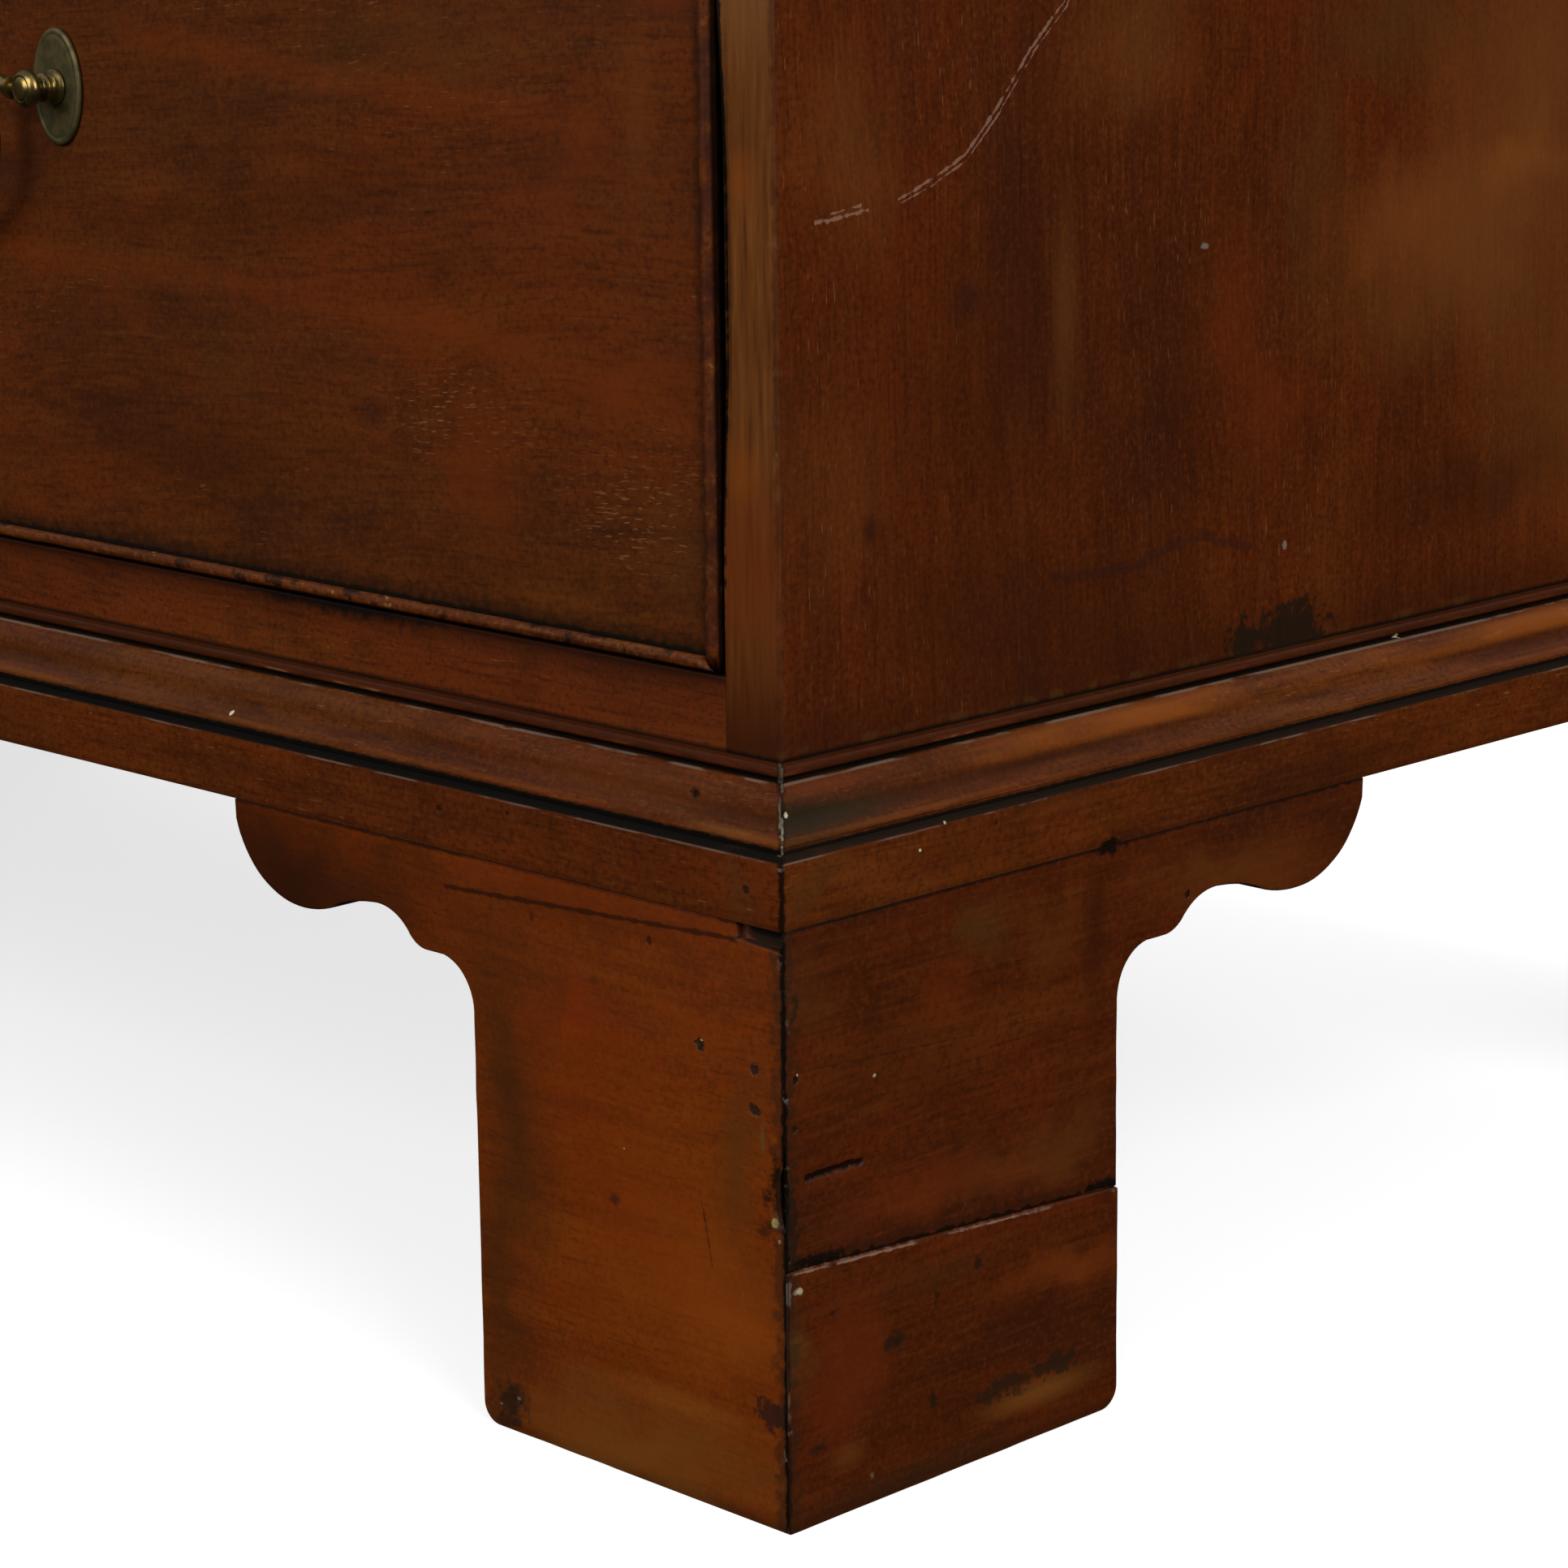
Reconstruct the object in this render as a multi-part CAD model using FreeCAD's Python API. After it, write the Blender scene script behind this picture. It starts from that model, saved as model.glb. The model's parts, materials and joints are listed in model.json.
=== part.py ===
import FreeCAD, Part
import os
from math import cos, radians, sin
from FreeCAD import Vector

# Bachelor's chest in mahogany: bracket feet, moulded base, three graduated long drawers with
# cock beading and swan-neck handles, a brushing slide and a moulded top.
# Millimetres. X to the chest's right, Y to its back, Z up. The origin is on the floor, below the
# middle of the whole chest.

# ---- carcass ----
CARCASS_WIDTH = 880.0
CARCASS_DEPTH = 460.0
SIDE_THICKNESS = 16.0
TOP_THICKNESS = 20.0
TOP_OVERHANG = 18.0
TOP_OVOLO = 9.0
TOP_FILLET = 2.5
TOP_QUIRK = 1.5
TOP_EASE = 3.0
RAIL_THICKNESS = 18.0
RAIL_DEPTH = 60.0
HOUSING_DEPTH = 5.0
HOUSING_SETBACK = 10.0
BOTTOM_RAIL_HEIGHT = 31.0
BOTTOM_RAIL_DEPTH = 50.0
BOTTOM_BOARD_THICKNESS = 20.0
DUST_BOARD_THICKNESS = 8.0
RUNNER_WIDTH = 25.0
BACK_THICKNESS = 10.0
BACK_REBATE = 8.0
BACK_BOARD_COUNT = 4
BACK_BOARD_GAP = 0.8
TONGUE_HEIGHT = 6.0
TONGUE_THICKNESS = 8.0
TONGUE_INSET = 3.0

# ---- base and feet ----
BRACKET_HEIGHT = 130.0
BRACKET_THICKNESS = 18.0
BAND_HEIGHT = 15.0
BAND_WIDTH = 41.5
BAND_EASE = 1.0
BASE_OVERHANG = 16.5
MOULDING_HEIGHT = 15.0
MOULDING_FOOT = 13.0
MOULDING_FOOT_HEIGHT = 1.5
MOULDING_BEAD = 3.4
MOULDING_BEAD_HEIGHT = 2.8
MOULDING_QUIRK = 0.6
MOULDING_SWELL = 0.9
FRONT_LEG_WIDTH = 96.5
SIDE_LEG_WIDTH = 104.0
REAR_LEG_WIDTH = 88.0
FRONT_SCROLL_LENGTH = 82.0
SIDE_SCROLL_LENGTH = 86.7
SCROLL_DEPTH = 24.0
SCROLL_CORNER = 12.5
FOOT_ROUND = 5.0
TIP_HEIGHT_AT_CORNER = 57.6
TIP_HEIGHT_AT_EDGE = 51.5
TIP_PROUD = 0.5
SHIM_GAP_LENGTH = 13.5
SHIM_GAP_HEIGHT = 3.4
SHIM_GAP_HEIGHT_AT_CORNER = 4.4
SHIM_GAP_DEPTH = 2.5
BACK_BRACKET_THICKNESS = 16.0
BACK_BRACKET_TOE = 75.0
BACK_BRACKET_TOP = 105.0
CORNER_BLOCK = 34.0
CORNER_BLOCK_LIFT = 6.0
GLUE_BLOCK = 15.0
GLUE_BLOCK_LENGTH = 90.0
GLUE_BLOCK_GAP = 5.0

# ---- drawers ----
DRAWER_NAMES = ("bottom", "middle", "top")
DRAWER_OPENINGS = (210.0, 180.0, 150.0)
DRAWER_TAIL_COUNTS = (5, 4, 4)
DRAWER_SIDE_GAP = 1.2
DRAWER_TOP_GAP = 1.5
DRAWER_FOOT_GAP = 0.8
RUNNING_GAP = 0.3
FRONT_THICKNESS = 20.0
BEAD_WIDTH = 3.0
BEAD_DEPTH = 8.0
BEAD_PROUD = 2.2
LAP = 8.5
DRAWER_SIDE_THICKNESS = 9.0
DRAWER_SIDE_DROP = 4.0
DRAWER_BACK_THICKNESS = 9.0
DRAWER_BACK_DROP = 5.0
DRAWER_BACK_GAP = 8.0
DRAWER_BOTTOM_THICKNESS = 7.0
DRAWER_BOTTOM_LIFT = 10.0
GROOVE_DEPTH = 4.0
TAIL_ROOT_SHARE = 0.5
TAIL_TIP_SHARE = 0.72
STOP_LENGTH = 40.0
STOP_DEPTH = 12.0
STOP_HEIGHT = 6.0
STOP_PLACE = 250.0

# ---- handles ----
HANDLE_INSET = 278.5
HANDLE_ABOVE_MIDDLE = 7.0
POST_SPACING = 78.0
PLATE_WIDTH = 18.5
PLATE_HEIGHT = 27.6
PLATE_THICKNESS = 1.6
PLATE_BEVEL = 0.8
POST_REACH = 9.5
BALL_RADIUS = 4.7
BALL_DEPTH = 5.0
BOSS_RADIUS = 4.3
BOSS_THICKNESS = 1.3
BOSS_SWELL = 0.5
RING_RADIUS = 3.5
RING_THICKNESS = 1.5
RING_PLACE = 5.0
STEM_RADIUS = 2.4
SHANK_RADIUS = 2.0
SHANK_CLEARANCE = 0.1
NUT_SIZE = 9.0
NUT_THICKNESS = 3.0
PIN_RADIUS = 1.4
PIN_CLEARANCE = 0.06
PIN_DEPTH = 3.0
BAIL_RADIUS = 1.9
COLLAR_RADIUS = 2.7
COLLAR_THICKNESS = 1.2
COLLAR_GAP = 0.5
NECK_LENGTH = 1.5
NECK_RISE_RADIUS = 4.0
NECK_RISE_TURN = 30.0
NECK_RADIUS = 5.0
NECK_TURN_BACK = 20.0
BOW_RADIUS = 20.0
BOW_TURN = 75.0

# ---- locks ----
LOCK_WIDTH = 60.0
LOCK_HEIGHT = 42.0
LOCK_DEPTH = 10.0
LOCK_FRONT_WALL = 3.5
BOLT_WIDTH = 26.0
BOLT_THICKNESS = 5.0
BOLT_HEIGHT = 20.0
BOLT_CLEARANCE = 0.3
BOLT_THROW = 7.0
MORTISE_CLEARANCE = 1.0
KEYHOLE_DROP = 27.0
KEYHOLE_RADIUS = 2.6
KEYHOLE_SLOT = 2.4
KEYHOLE_LENGTH = 9.0
ESCUTCHEON_WALL = 1.3
ESCUTCHEON_DEPTH = 4.0

# ---- brushing slide ----
SLIDE_OPENING = 20.0
SLIDE_THICKNESS = 18.0
SLIDE_SETBACK = 1.0
SLIDE_BACK_GAP = 49.0
SLIDE_SIDE_GAP = 0.8
CLAMP_WIDTH = 45.0
CLAMP_TONGUE = 8.0
CLAMP_TONGUE_THICKNESS = 6.0
KNOB_RADIUS = 6.5
KNOB_REACH = 14.0
KNOB_TIP = 1.0
KNOB_SWELL = 1.6
KNOB_ROSE = 5.5
KNOB_ROSE_THICKNESS = 1.0
KNOB_SHANK_LENGTH = 14.0

# ---- places worked out from the sizes ----
HALF = CARCASS_WIDTH / 2
FRONT = (TOP_OVERHANG - CARCASS_DEPTH) / 2
BACK = FRONT + CARCASS_DEPTH
INSIDE = HALF - SIDE_THICKNESS
INSIDE_BACK = BACK - BACK_THICKNESS
CARCASS_BOTTOM = BRACKET_HEIGHT + BAND_HEIGHT
FLOOR_OF_DRAWERS = CARCASS_BOTTOM + BOTTOM_RAIL_HEIGHT
SLIDE_FLOOR = FLOOR_OF_DRAWERS + sum(DRAWER_OPENINGS) + len(DRAWER_OPENINGS) * RAIL_THICKNESS
CARCASS_TOP = SLIDE_FLOOR + SLIDE_OPENING
BRACKET_INSET = BRACKET_THICKNESS - BASE_OVERHANG
DRAWER_HALF = INSIDE - DRAWER_SIDE_GAP
DRAWER_END = INSIDE_BACK - DRAWER_BACK_GAP
SLIDE_FRONT = FRONT + SLIDE_SETBACK
SLIDE_BACK = INSIDE_BACK - SLIDE_BACK_GAP
FRONT_BACK = FRONT + FRONT_THICKNESS
HANDLE_PLACE = HALF - HANDLE_INSET
PIVOT_Y = FRONT - POST_REACH

RIGHT = Vector(1, 0, 0)
REARWARD = Vector(0, 1, 0)
UP = Vector(0, 0, 1)


def box(x0, x1, y0, y1, z0, z1):
    """Block between two opposite corners."""
    return Part.makeBox(x1 - x0, y1 - y0, z1 - z0, Vector(x0, y0, z0))


def mirrored(shape):
    """The same piece for the other hand of the chest."""
    return shape.mirror(Vector(0, 0, 0), RIGHT)


def both_hands(shape):
    """A right-hand piece and its left-hand twin."""
    return [shape, mirrored(shape)]


def outline_face(place, start, *steps):
    """Face inside a closed outline. place turns two numbers into a point. A step of two numbers
    is a straight run to that point; a step of four is an arc through the first pair to the second."""
    first = place(*start)
    here = first
    edges = []
    for step in steps:
        there = place(*step[-2:])
        if len(step) == 4:
            edges.append(Part.Arc(here, place(*step[:2]), there).toShape())
        else:
            edges.append(Part.makeLine(here, there))
        here = there
    if here.distanceToPoint(first) > 1e-6:
        edges.append(Part.makeLine(here, first))
    return Part.Face(Part.Wire(edges))


def round_step(centre, radius, start, end):
    """Step of an outline that turns about a centre from one angle in degrees to another."""
    points = [(centre[0] + radius * cos(radians(angle)), centre[1] + radius * sin(radians(angle)))
              for angle in ((start + end) / 2, end)]
    return points[0] + points[1]


def swelling_step(start, end, swell):
    """Step of an outline that bows out to the left of the line from start to end."""
    run = Vector(end[0] - start[0], end[1] - start[1], 0)
    side = Vector(-run.y, run.x, 0).normalize() * swell
    return (start[0] + run.x / 2 + side.x, start[1] + run.y / 2 + side.y) + end


def turned(x, y, z, start, *steps):
    """Solid turned about the line along Y through x, z. The outline is in radius and in distance
    forward of y."""
    def place(radius, forward):
        return Vector(x, y - forward, z + radius)
    return outline_face(place, start, *steps).revolve(Vector(x, y, z), REARWARD, 360)


def write(name, *shapes):
    """One STEP file for a node, from one solid or several."""
    shape = shapes[0] if len(shapes) == 1 else Part.makeCompound(list(shapes))
    if not shape.isValid():
        raise ValueError(name + " is not a valid shape")
    shape.exportStep("parts/" + name + ".step")


# ---- carcass ----

def rail_levels():
    """Floor of each rail, from the one above the bottom drawer up to the one under the slide."""
    levels = []
    z = FLOOR_OF_DRAWERS
    for opening in DRAWER_OPENINGS:
        z += opening
        levels.append(z)
        z += RAIL_THICKNESS
    return levels


def drawer_floors():
    """Floor of each drawer's opening, bottom drawer first."""
    return [FLOOR_OF_DRAWERS] + [z + RAIL_THICKNESS for z in rail_levels()[:-1]]


def side_panel():
    """Right side, housed for the rails and the bottom board, rebated for the back."""
    panel = box(INSIDE, HALF, FRONT, BACK, CARCASS_BOTTOM, CARCASS_TOP)
    tongue = box(HALF - TONGUE_INSET - TONGUE_THICKNESS, HALF - TONGUE_INSET,
                 FRONT + HOUSING_SETBACK, INSIDE_BACK, CARCASS_TOP, CARCASS_TOP + TONGUE_HEIGHT)
    rebate = box(INSIDE, INSIDE + BACK_REBATE, INSIDE_BACK, BACK, CARCASS_BOTTOM, CARCASS_TOP)
    panel = panel.fuse(tongue).cut(rebate)
    for z in rail_levels():
        panel = panel.cut(housing(z, z + RAIL_THICKNESS))
    panel = panel.cut(housing(FLOOR_OF_DRAWERS - BOTTOM_BOARD_THICKNESS, FLOOR_OF_DRAWERS))
    return panel.removeSplitter()


def housing(z0, z1):
    """Stopped housing in the inner face of the right side."""
    return box(INSIDE, INSIDE + HOUSING_DEPTH, FRONT + HOUSING_SETBACK, INSIDE_BACK, z0, z1)


def top_board(sides):
    """Top with an ovolo under a fillet along the front and the ends, its lower arris eased."""
    lip = TOP_THICKNESS - TOP_FILLET - TOP_OVOLO
    inner = TOP_OVERHANG - TOP_OVOLO
    edge = [(TOP_OVERHANG - TOP_EASE, 0.0),
            round_step((TOP_OVERHANG - TOP_EASE, TOP_EASE), TOP_EASE, -90, 0),
            (TOP_OVERHANG, lip),
            round_step((inner, lip), TOP_OVOLO, 0, 90),
            (inner - TOP_QUIRK, lip + TOP_OVOLO),
            (inner - TOP_QUIRK, TOP_THICKNESS)]

    def along_front(out, up):
        return Vector(-HALF - TOP_OVERHANG, FRONT - out, CARCASS_TOP + up)

    def along_right(out, up):
        return Vector(HALF + out, FRONT - TOP_OVERHANG, CARCASS_TOP + up)

    width = CARCASS_WIDTH + 2 * TOP_OVERHANG
    depth = CARCASS_DEPTH + TOP_OVERHANG
    front = outline_face(along_front, (-CARCASS_DEPTH, 0.0), *edge, (-CARCASS_DEPTH, TOP_THICKNESS))
    right = outline_face(along_right, (-width, 0.0), *edge, (-width, TOP_THICKNESS))
    right = right.extrude(REARWARD * depth)
    board = front.extrude(RIGHT * width).common(right).common(mirrored(right))
    for side in sides:
        board = board.cut(side)
    return board.removeSplitter()


def rail(z):
    """Rail between two drawers, with stub tenons in the sides, a groove for the dust board and a
    mortise below for the lock bolt of the drawer under it."""
    bar = box(-INSIDE, INSIDE, FRONT, FRONT + RAIL_DEPTH, z, z + RAIL_THICKNESS)
    stub = box(-INSIDE - HOUSING_DEPTH, INSIDE + HOUSING_DEPTH, FRONT + HOUSING_SETBACK,
               FRONT + RAIL_DEPTH, z, z + RAIL_THICKNESS)
    bolt_y0, bolt_y1 = bolt_range()
    reach = BOLT_THROW + MORTISE_CLEARANCE
    mortise = box(-BOLT_WIDTH / 2 - MORTISE_CLEARANCE, BOLT_WIDTH / 2 + MORTISE_CLEARANCE,
                  bolt_y0 - MORTISE_CLEARANCE, bolt_y1 + MORTISE_CLEARANCE, z, z + reach)
    return bar.fuse(stub).cut(mortise).cut(dust_board(z)).removeSplitter()


def dust_board(z):
    """Thin board behind a rail that closes off one drawer from the next."""
    low = z + (RAIL_THICKNESS - DUST_BOARD_THICKNESS) / 2
    reach = INSIDE - RUNNER_WIDTH + HOUSING_DEPTH
    return box(-reach, reach, FRONT + RAIL_DEPTH - HOUSING_DEPTH, INSIDE_BACK,
               low, low + DUST_BOARD_THICKNESS)


def runner(z):
    """Right runner, in the side's housing behind the rail."""
    bar = box(INSIDE - RUNNER_WIDTH, INSIDE + HOUSING_DEPTH, FRONT + RAIL_DEPTH, INSIDE_BACK,
              z, z + RAIL_THICKNESS)
    return bar.cut(dust_board(z))


def drawer_stop(floor):
    """Small block on the rail that the back of the drawer front meets."""
    low = FRONT_BACK + RUNNING_GAP
    return box(STOP_PLACE - STOP_LENGTH / 2, STOP_PLACE + STOP_LENGTH / 2, low, low + STOP_DEPTH,
               floor, floor + STOP_HEIGHT)


def slide_stop():
    """Block on the right runner behind the brushing slide."""
    low = SLIDE_BACK + RUNNING_GAP
    return box(INSIDE - RUNNER_WIDTH, INSIDE, low, low + STOP_DEPTH,
               SLIDE_FLOOR, SLIDE_FLOOR + STOP_HEIGHT)


def back_board(index):
    """One of the boards nailed across the back."""
    pitch = (CARCASS_TOP - CARCASS_BOTTOM) / BACK_BOARD_COUNT
    low = CARCASS_BOTTOM + index * pitch
    reach = INSIDE + BACK_REBATE
    gap = BACK_BOARD_GAP if index < BACK_BOARD_COUNT - 1 else 0.0
    return box(-reach, reach, INSIDE_BACK, BACK, low, low + pitch - gap)


def bottom_board():
    """Bottom of the carcass, level with the bottom rail and housed in the sides."""
    reach = INSIDE + HOUSING_DEPTH
    return box(-reach, reach, FRONT + BOTTOM_RAIL_DEPTH, INSIDE_BACK,
               FLOOR_OF_DRAWERS - BOTTOM_BOARD_THICKNESS, FLOOR_OF_DRAWERS)


def bottom_rail():
    """Rail under the bottom drawer, its lower half behind the base moulding."""
    bar = box(-INSIDE, INSIDE, FRONT, FRONT + BOTTOM_RAIL_DEPTH, CARCASS_BOTTOM, FLOOR_OF_DRAWERS)
    stub = box(-INSIDE - HOUSING_DEPTH, INSIDE + HOUSING_DEPTH, FRONT + HOUSING_SETBACK,
               FRONT + BOTTOM_RAIL_DEPTH, FLOOR_OF_DRAWERS - BOTTOM_BOARD_THICKNESS, FLOOR_OF_DRAWERS)
    return bar.fuse(stub).removeSplitter()


# ---- base and feet ----

def mitred_plan(inward, outward, corner_only):
    """Plan of a mitred run about the carcass, as a tall block: the front run between its two
    mitres, or with corner_only the right-hand run from its mitre to the back."""
    x_out = HALF + outward
    x_in = HALF - inward
    y_out = FRONT - outward
    y_in = FRONT + inward

    def place(x, y):
        return Vector(x, y, 0)

    if corner_only:
        plan = outline_face(place, (x_out, y_out), (x_out, BACK), (x_in, BACK), (x_in, y_in))
    else:
        plan = outline_face(place, (-x_out, y_out), (x_out, y_out), (x_in, y_in), (-x_in, y_in))
    return plan.extrude(UP * CARCASS_TOP)


def front_run(inward, outward, start, *steps):
    """Front piece of a mitred run, from its outline in distance outward and height."""
    def place(out, up):
        return Vector(-HALF - outward, FRONT - out, up)
    bar = outline_face(place, start, *steps).extrude(RIGHT * (CARCASS_WIDTH + 2 * outward))
    return bar.common(mitred_plan(inward, outward, False))


def right_run(inward, outward, start, *steps):
    """Right-hand piece of a mitred run, from the same outline as the front piece."""
    def place(out, up):
        return Vector(HALF + out, FRONT - outward, up)
    bar = outline_face(place, start, *steps).extrude(REARWARD * (CARCASS_DEPTH + outward))
    return bar.common(mitred_plan(inward, outward, True))


def moulding_outline():
    """Base moulding: a bead, a quirk, then an ogee out to a small foot."""
    low = CARCASS_BOTTOM
    high = low + MOULDING_HEIGHT
    quirk = high - MOULDING_BEAD_HEIGHT
    foot = (MOULDING_FOOT, low + MOULDING_FOOT_HEIGHT)
    top = (MOULDING_BEAD + MOULDING_QUIRK, quirk)
    middle = ((foot[0] + top[0]) / 2, (foot[1] + top[1]) / 2)
    bead = (MOULDING_BEAD - MOULDING_QUIRK, quirk)
    return [(0.0, low),
            (MOULDING_FOOT, low),
            foot,
            swelling_step(foot, middle, MOULDING_SWELL),
            swelling_step(middle, top, -MOULDING_SWELL),
            bead,
            swelling_step(bead, (bead[0], high), -MOULDING_QUIRK),
            (0.0, high)]


def band_outline():
    """Flat band under the moulding, flush with the feet, its upper arris eased."""
    high = CARCASS_BOTTOM
    return [(BASE_OVERHANG - BAND_WIDTH, BRACKET_HEIGHT),
            (BASE_OVERHANG, BRACKET_HEIGHT),
            (BASE_OVERHANG, high - BAND_EASE),
            round_step((BASE_OVERHANG - BAND_EASE, high - BAND_EASE), BAND_EASE, 0, 90),
            (BASE_OVERHANG - BAND_WIDTH, high)]


def bracket_outline(leg, scroll):
    """Outline of a shaped bracket, in distance from the foot's outer corner and height. The
    scroll runs from the leg out to the spandrel's end: a hollow corner, a nib, a rise to a crest,
    a fall to the lobe and the lobe itself, in shares of its length and depth."""
    def at(along, down):
        return leg + along * scroll, BRACKET_HEIGHT - down * SCROLL_DEPTH
    return [(0.0, 0.0),
            (leg - FOOT_ROUND, 0.0),
            round_step((leg - FOOT_ROUND, FOOT_ROUND), FOOT_ROUND, -90, 0),
            (leg, BRACKET_HEIGHT - SCROLL_DEPTH - SCROLL_CORNER),
            (*at(0.030, 1.18), *at(0.115, 1.0)),
            at(0.178, 1.0),
            (*at(0.230, 0.96), *at(0.262, 0.86)),
            (*at(0.320, 0.72), *at(0.410, 0.68)),
            (*at(0.510, 0.74), *at(0.595, 0.85)),
            (*at(0.660, 0.90), *at(0.730, 0.91)),
            (*at(0.900, 0.70), *at(1.000, 0.19)),
            at(1.0, 0.0),
            (0.0, BRACKET_HEIGHT)]


def front_bracket():
    """Front face of the front right foot, mitred at the corner."""
    def place(along, up):
        return Vector(HALF + BASE_OVERHANG - along, FRONT - BASE_OVERHANG, up)
    face = outline_face(place, *bracket_outline(FRONT_LEG_WIDTH, FRONT_SCROLL_LENGTH))
    board = face.extrude(REARWARD * BRACKET_THICKNESS)
    return board.common(mitred_plan(BRACKET_INSET, BASE_OVERHANG, False))


def shim_gap():
    """Gap under the band at the front right corner, where a shim let in along the top of the
    bracket stops short."""
    def place(along, up):
        return Vector(HALF + BASE_OVERHANG - along, FRONT - BASE_OVERHANG, up)
    face = outline_face(place, (0.0, BRACKET_HEIGHT - SHIM_GAP_HEIGHT_AT_CORNER),
                        (SHIM_GAP_LENGTH, BRACKET_HEIGHT - SHIM_GAP_HEIGHT),
                        (SHIM_GAP_LENGTH, BRACKET_HEIGHT), (0.0, BRACKET_HEIGHT))
    return face.extrude(REARWARD * SHIM_GAP_DEPTH)


def side_bracket(proud=0.0):
    """Side face of the front right foot, mitred at the corner. It may stand proud of the band."""
    def place(along, up):
        return Vector(HALF + BASE_OVERHANG + proud, FRONT - BASE_OVERHANG + along, up)
    face = outline_face(place, *bracket_outline(SIDE_LEG_WIDTH, SIDE_SCROLL_LENGTH))
    board = face.extrude(RIGHT * -(BRACKET_THICKNESS + proud))
    return board.common(mitred_plan(BRACKET_INSET, BASE_OVERHANG + proud, True))


def rear_side_bracket():
    """Side face of the rear right foot, square at the back."""
    def place(along, up):
        return Vector(HALF + BASE_OVERHANG, BACK - along, up)
    face = outline_face(place, *bracket_outline(REAR_LEG_WIDTH, SIDE_SCROLL_LENGTH))
    return face.extrude(RIGHT * -BRACKET_THICKNESS)


def back_bracket():
    """Plain sawn bracket at the back of the rear right foot."""
    inner = HALF - BRACKET_INSET

    def place(along, up):
        return Vector(inner - along, BACK - BACK_BRACKET_THICKNESS, up)
    face = outline_face(place, (0.0, 0.0), (BACK_BRACKET_TOE, 0.0),
                        (BACK_BRACKET_TOP, BRACKET_HEIGHT - GLUE_BLOCK),
                        (BACK_BRACKET_TOP, BRACKET_HEIGHT), (0.0, BRACKET_HEIGHT))
    return face.extrude(REARWARD * BACK_BRACKET_THICKNESS)


def tip_region():
    """Block that holds the renewed lower end of the front right foot's side bracket."""
    def place(along, up):
        return Vector(HALF + BASE_OVERHANG + TIP_PROUD, FRONT - BASE_OVERHANG + along, up)
    face = outline_face(place, (0.0, 0.0), (SIDE_LEG_WIDTH, 0.0),
                        (SIDE_LEG_WIDTH, TIP_HEIGHT_AT_EDGE), (0.0, TIP_HEIGHT_AT_CORNER))
    return face.extrude(RIGHT * -(BRACKET_THICKNESS + TIP_PROUD))


def foot_blocks():
    """Corner posts and glue blocks behind the brackets of the two right-hand feet."""
    inner = HALF - BRACKET_INSET
    front = FRONT + BRACKET_INSET
    rear = BACK - BACK_BRACKET_THICKNESS
    lift = BRACKET_HEIGHT - GLUE_BLOCK
    past_post = CORNER_BLOCK + GLUE_BLOCK_GAP
    return [
        box(inner - CORNER_BLOCK, inner, front, front + CORNER_BLOCK,
            CORNER_BLOCK_LIFT, BRACKET_HEIGHT),
        box(inner - CORNER_BLOCK, inner, rear - CORNER_BLOCK, rear,
            CORNER_BLOCK_LIFT, BRACKET_HEIGHT),
        box(inner - past_post - GLUE_BLOCK_LENGTH, inner - past_post, front, front + GLUE_BLOCK,
            lift, BRACKET_HEIGHT),
        box(inner - GLUE_BLOCK, inner, front + past_post, front + past_post + GLUE_BLOCK_LENGTH,
            lift, BRACKET_HEIGHT),
        box(inner - GLUE_BLOCK, inner, rear - past_post - GLUE_BLOCK_LENGTH, rear - past_post,
            lift, BRACKET_HEIGHT),
    ]


# ---- drawers ----

def tails(x0, x1, root, tip, z0, z1, count):
    """Row of dovetail tails that widen from the root to the tip, spread over a height."""
    pitch = (z1 - z0) / count
    row = []
    for index in range(count):
        middle = z0 + (index + 0.5) * pitch
        narrow = pitch * TAIL_ROOT_SHARE / 2
        wide = pitch * TAIL_TIP_SHARE / 2

        def place(y, z):
            return Vector(x0, y, z)
        face = outline_face(place, (root, middle - narrow), (tip, middle - wide),
                            (tip, middle + wide), (root, middle + narrow))
        row.append(face.extrude(RIGHT * (x1 - x0)))
    return Part.makeCompound(row)


def drawer_side(floor, opening, count):
    """Right side of a drawer, dovetailed into the front and through the back."""
    x0 = DRAWER_HALF - DRAWER_SIDE_THICKNESS
    z0 = floor + RUNNING_GAP
    z1 = floor + opening - DRAWER_SIDE_DROP
    tip = FRONT + LAP
    side = box(x0, DRAWER_HALF, tip, DRAWER_END, z0, z1)
    front_waste = box(x0, DRAWER_HALF, tip, FRONT_BACK, z0, z1)
    side = side.cut(front_waste.cut(tails(x0, DRAWER_HALF, FRONT_BACK, tip, z0, z1, count)))
    low = floor + DRAWER_BOTTOM_LIFT + DRAWER_BOTTOM_THICKNESS
    high = z1 - DRAWER_BACK_DROP
    root = DRAWER_END - DRAWER_BACK_THICKNESS
    back_waste = box(x0, DRAWER_HALF, root, DRAWER_END, low, high)
    side = side.cut(back_waste.cut(tails(x0, DRAWER_HALF, root, DRAWER_END, low, high, count)))
    return side.cut(drawer_bottom(floor)).removeSplitter()


def drawer_bottom(floor):
    """Bottom panel, grooved into the sides and the front and nailed up under the back."""
    low = floor + DRAWER_BOTTOM_LIFT
    reach = DRAWER_HALF - DRAWER_SIDE_THICKNESS + GROOVE_DEPTH
    return box(-reach, reach, FRONT_BACK - GROOVE_DEPTH, DRAWER_END,
               low, low + DRAWER_BOTTOM_THICKNESS)


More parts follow.
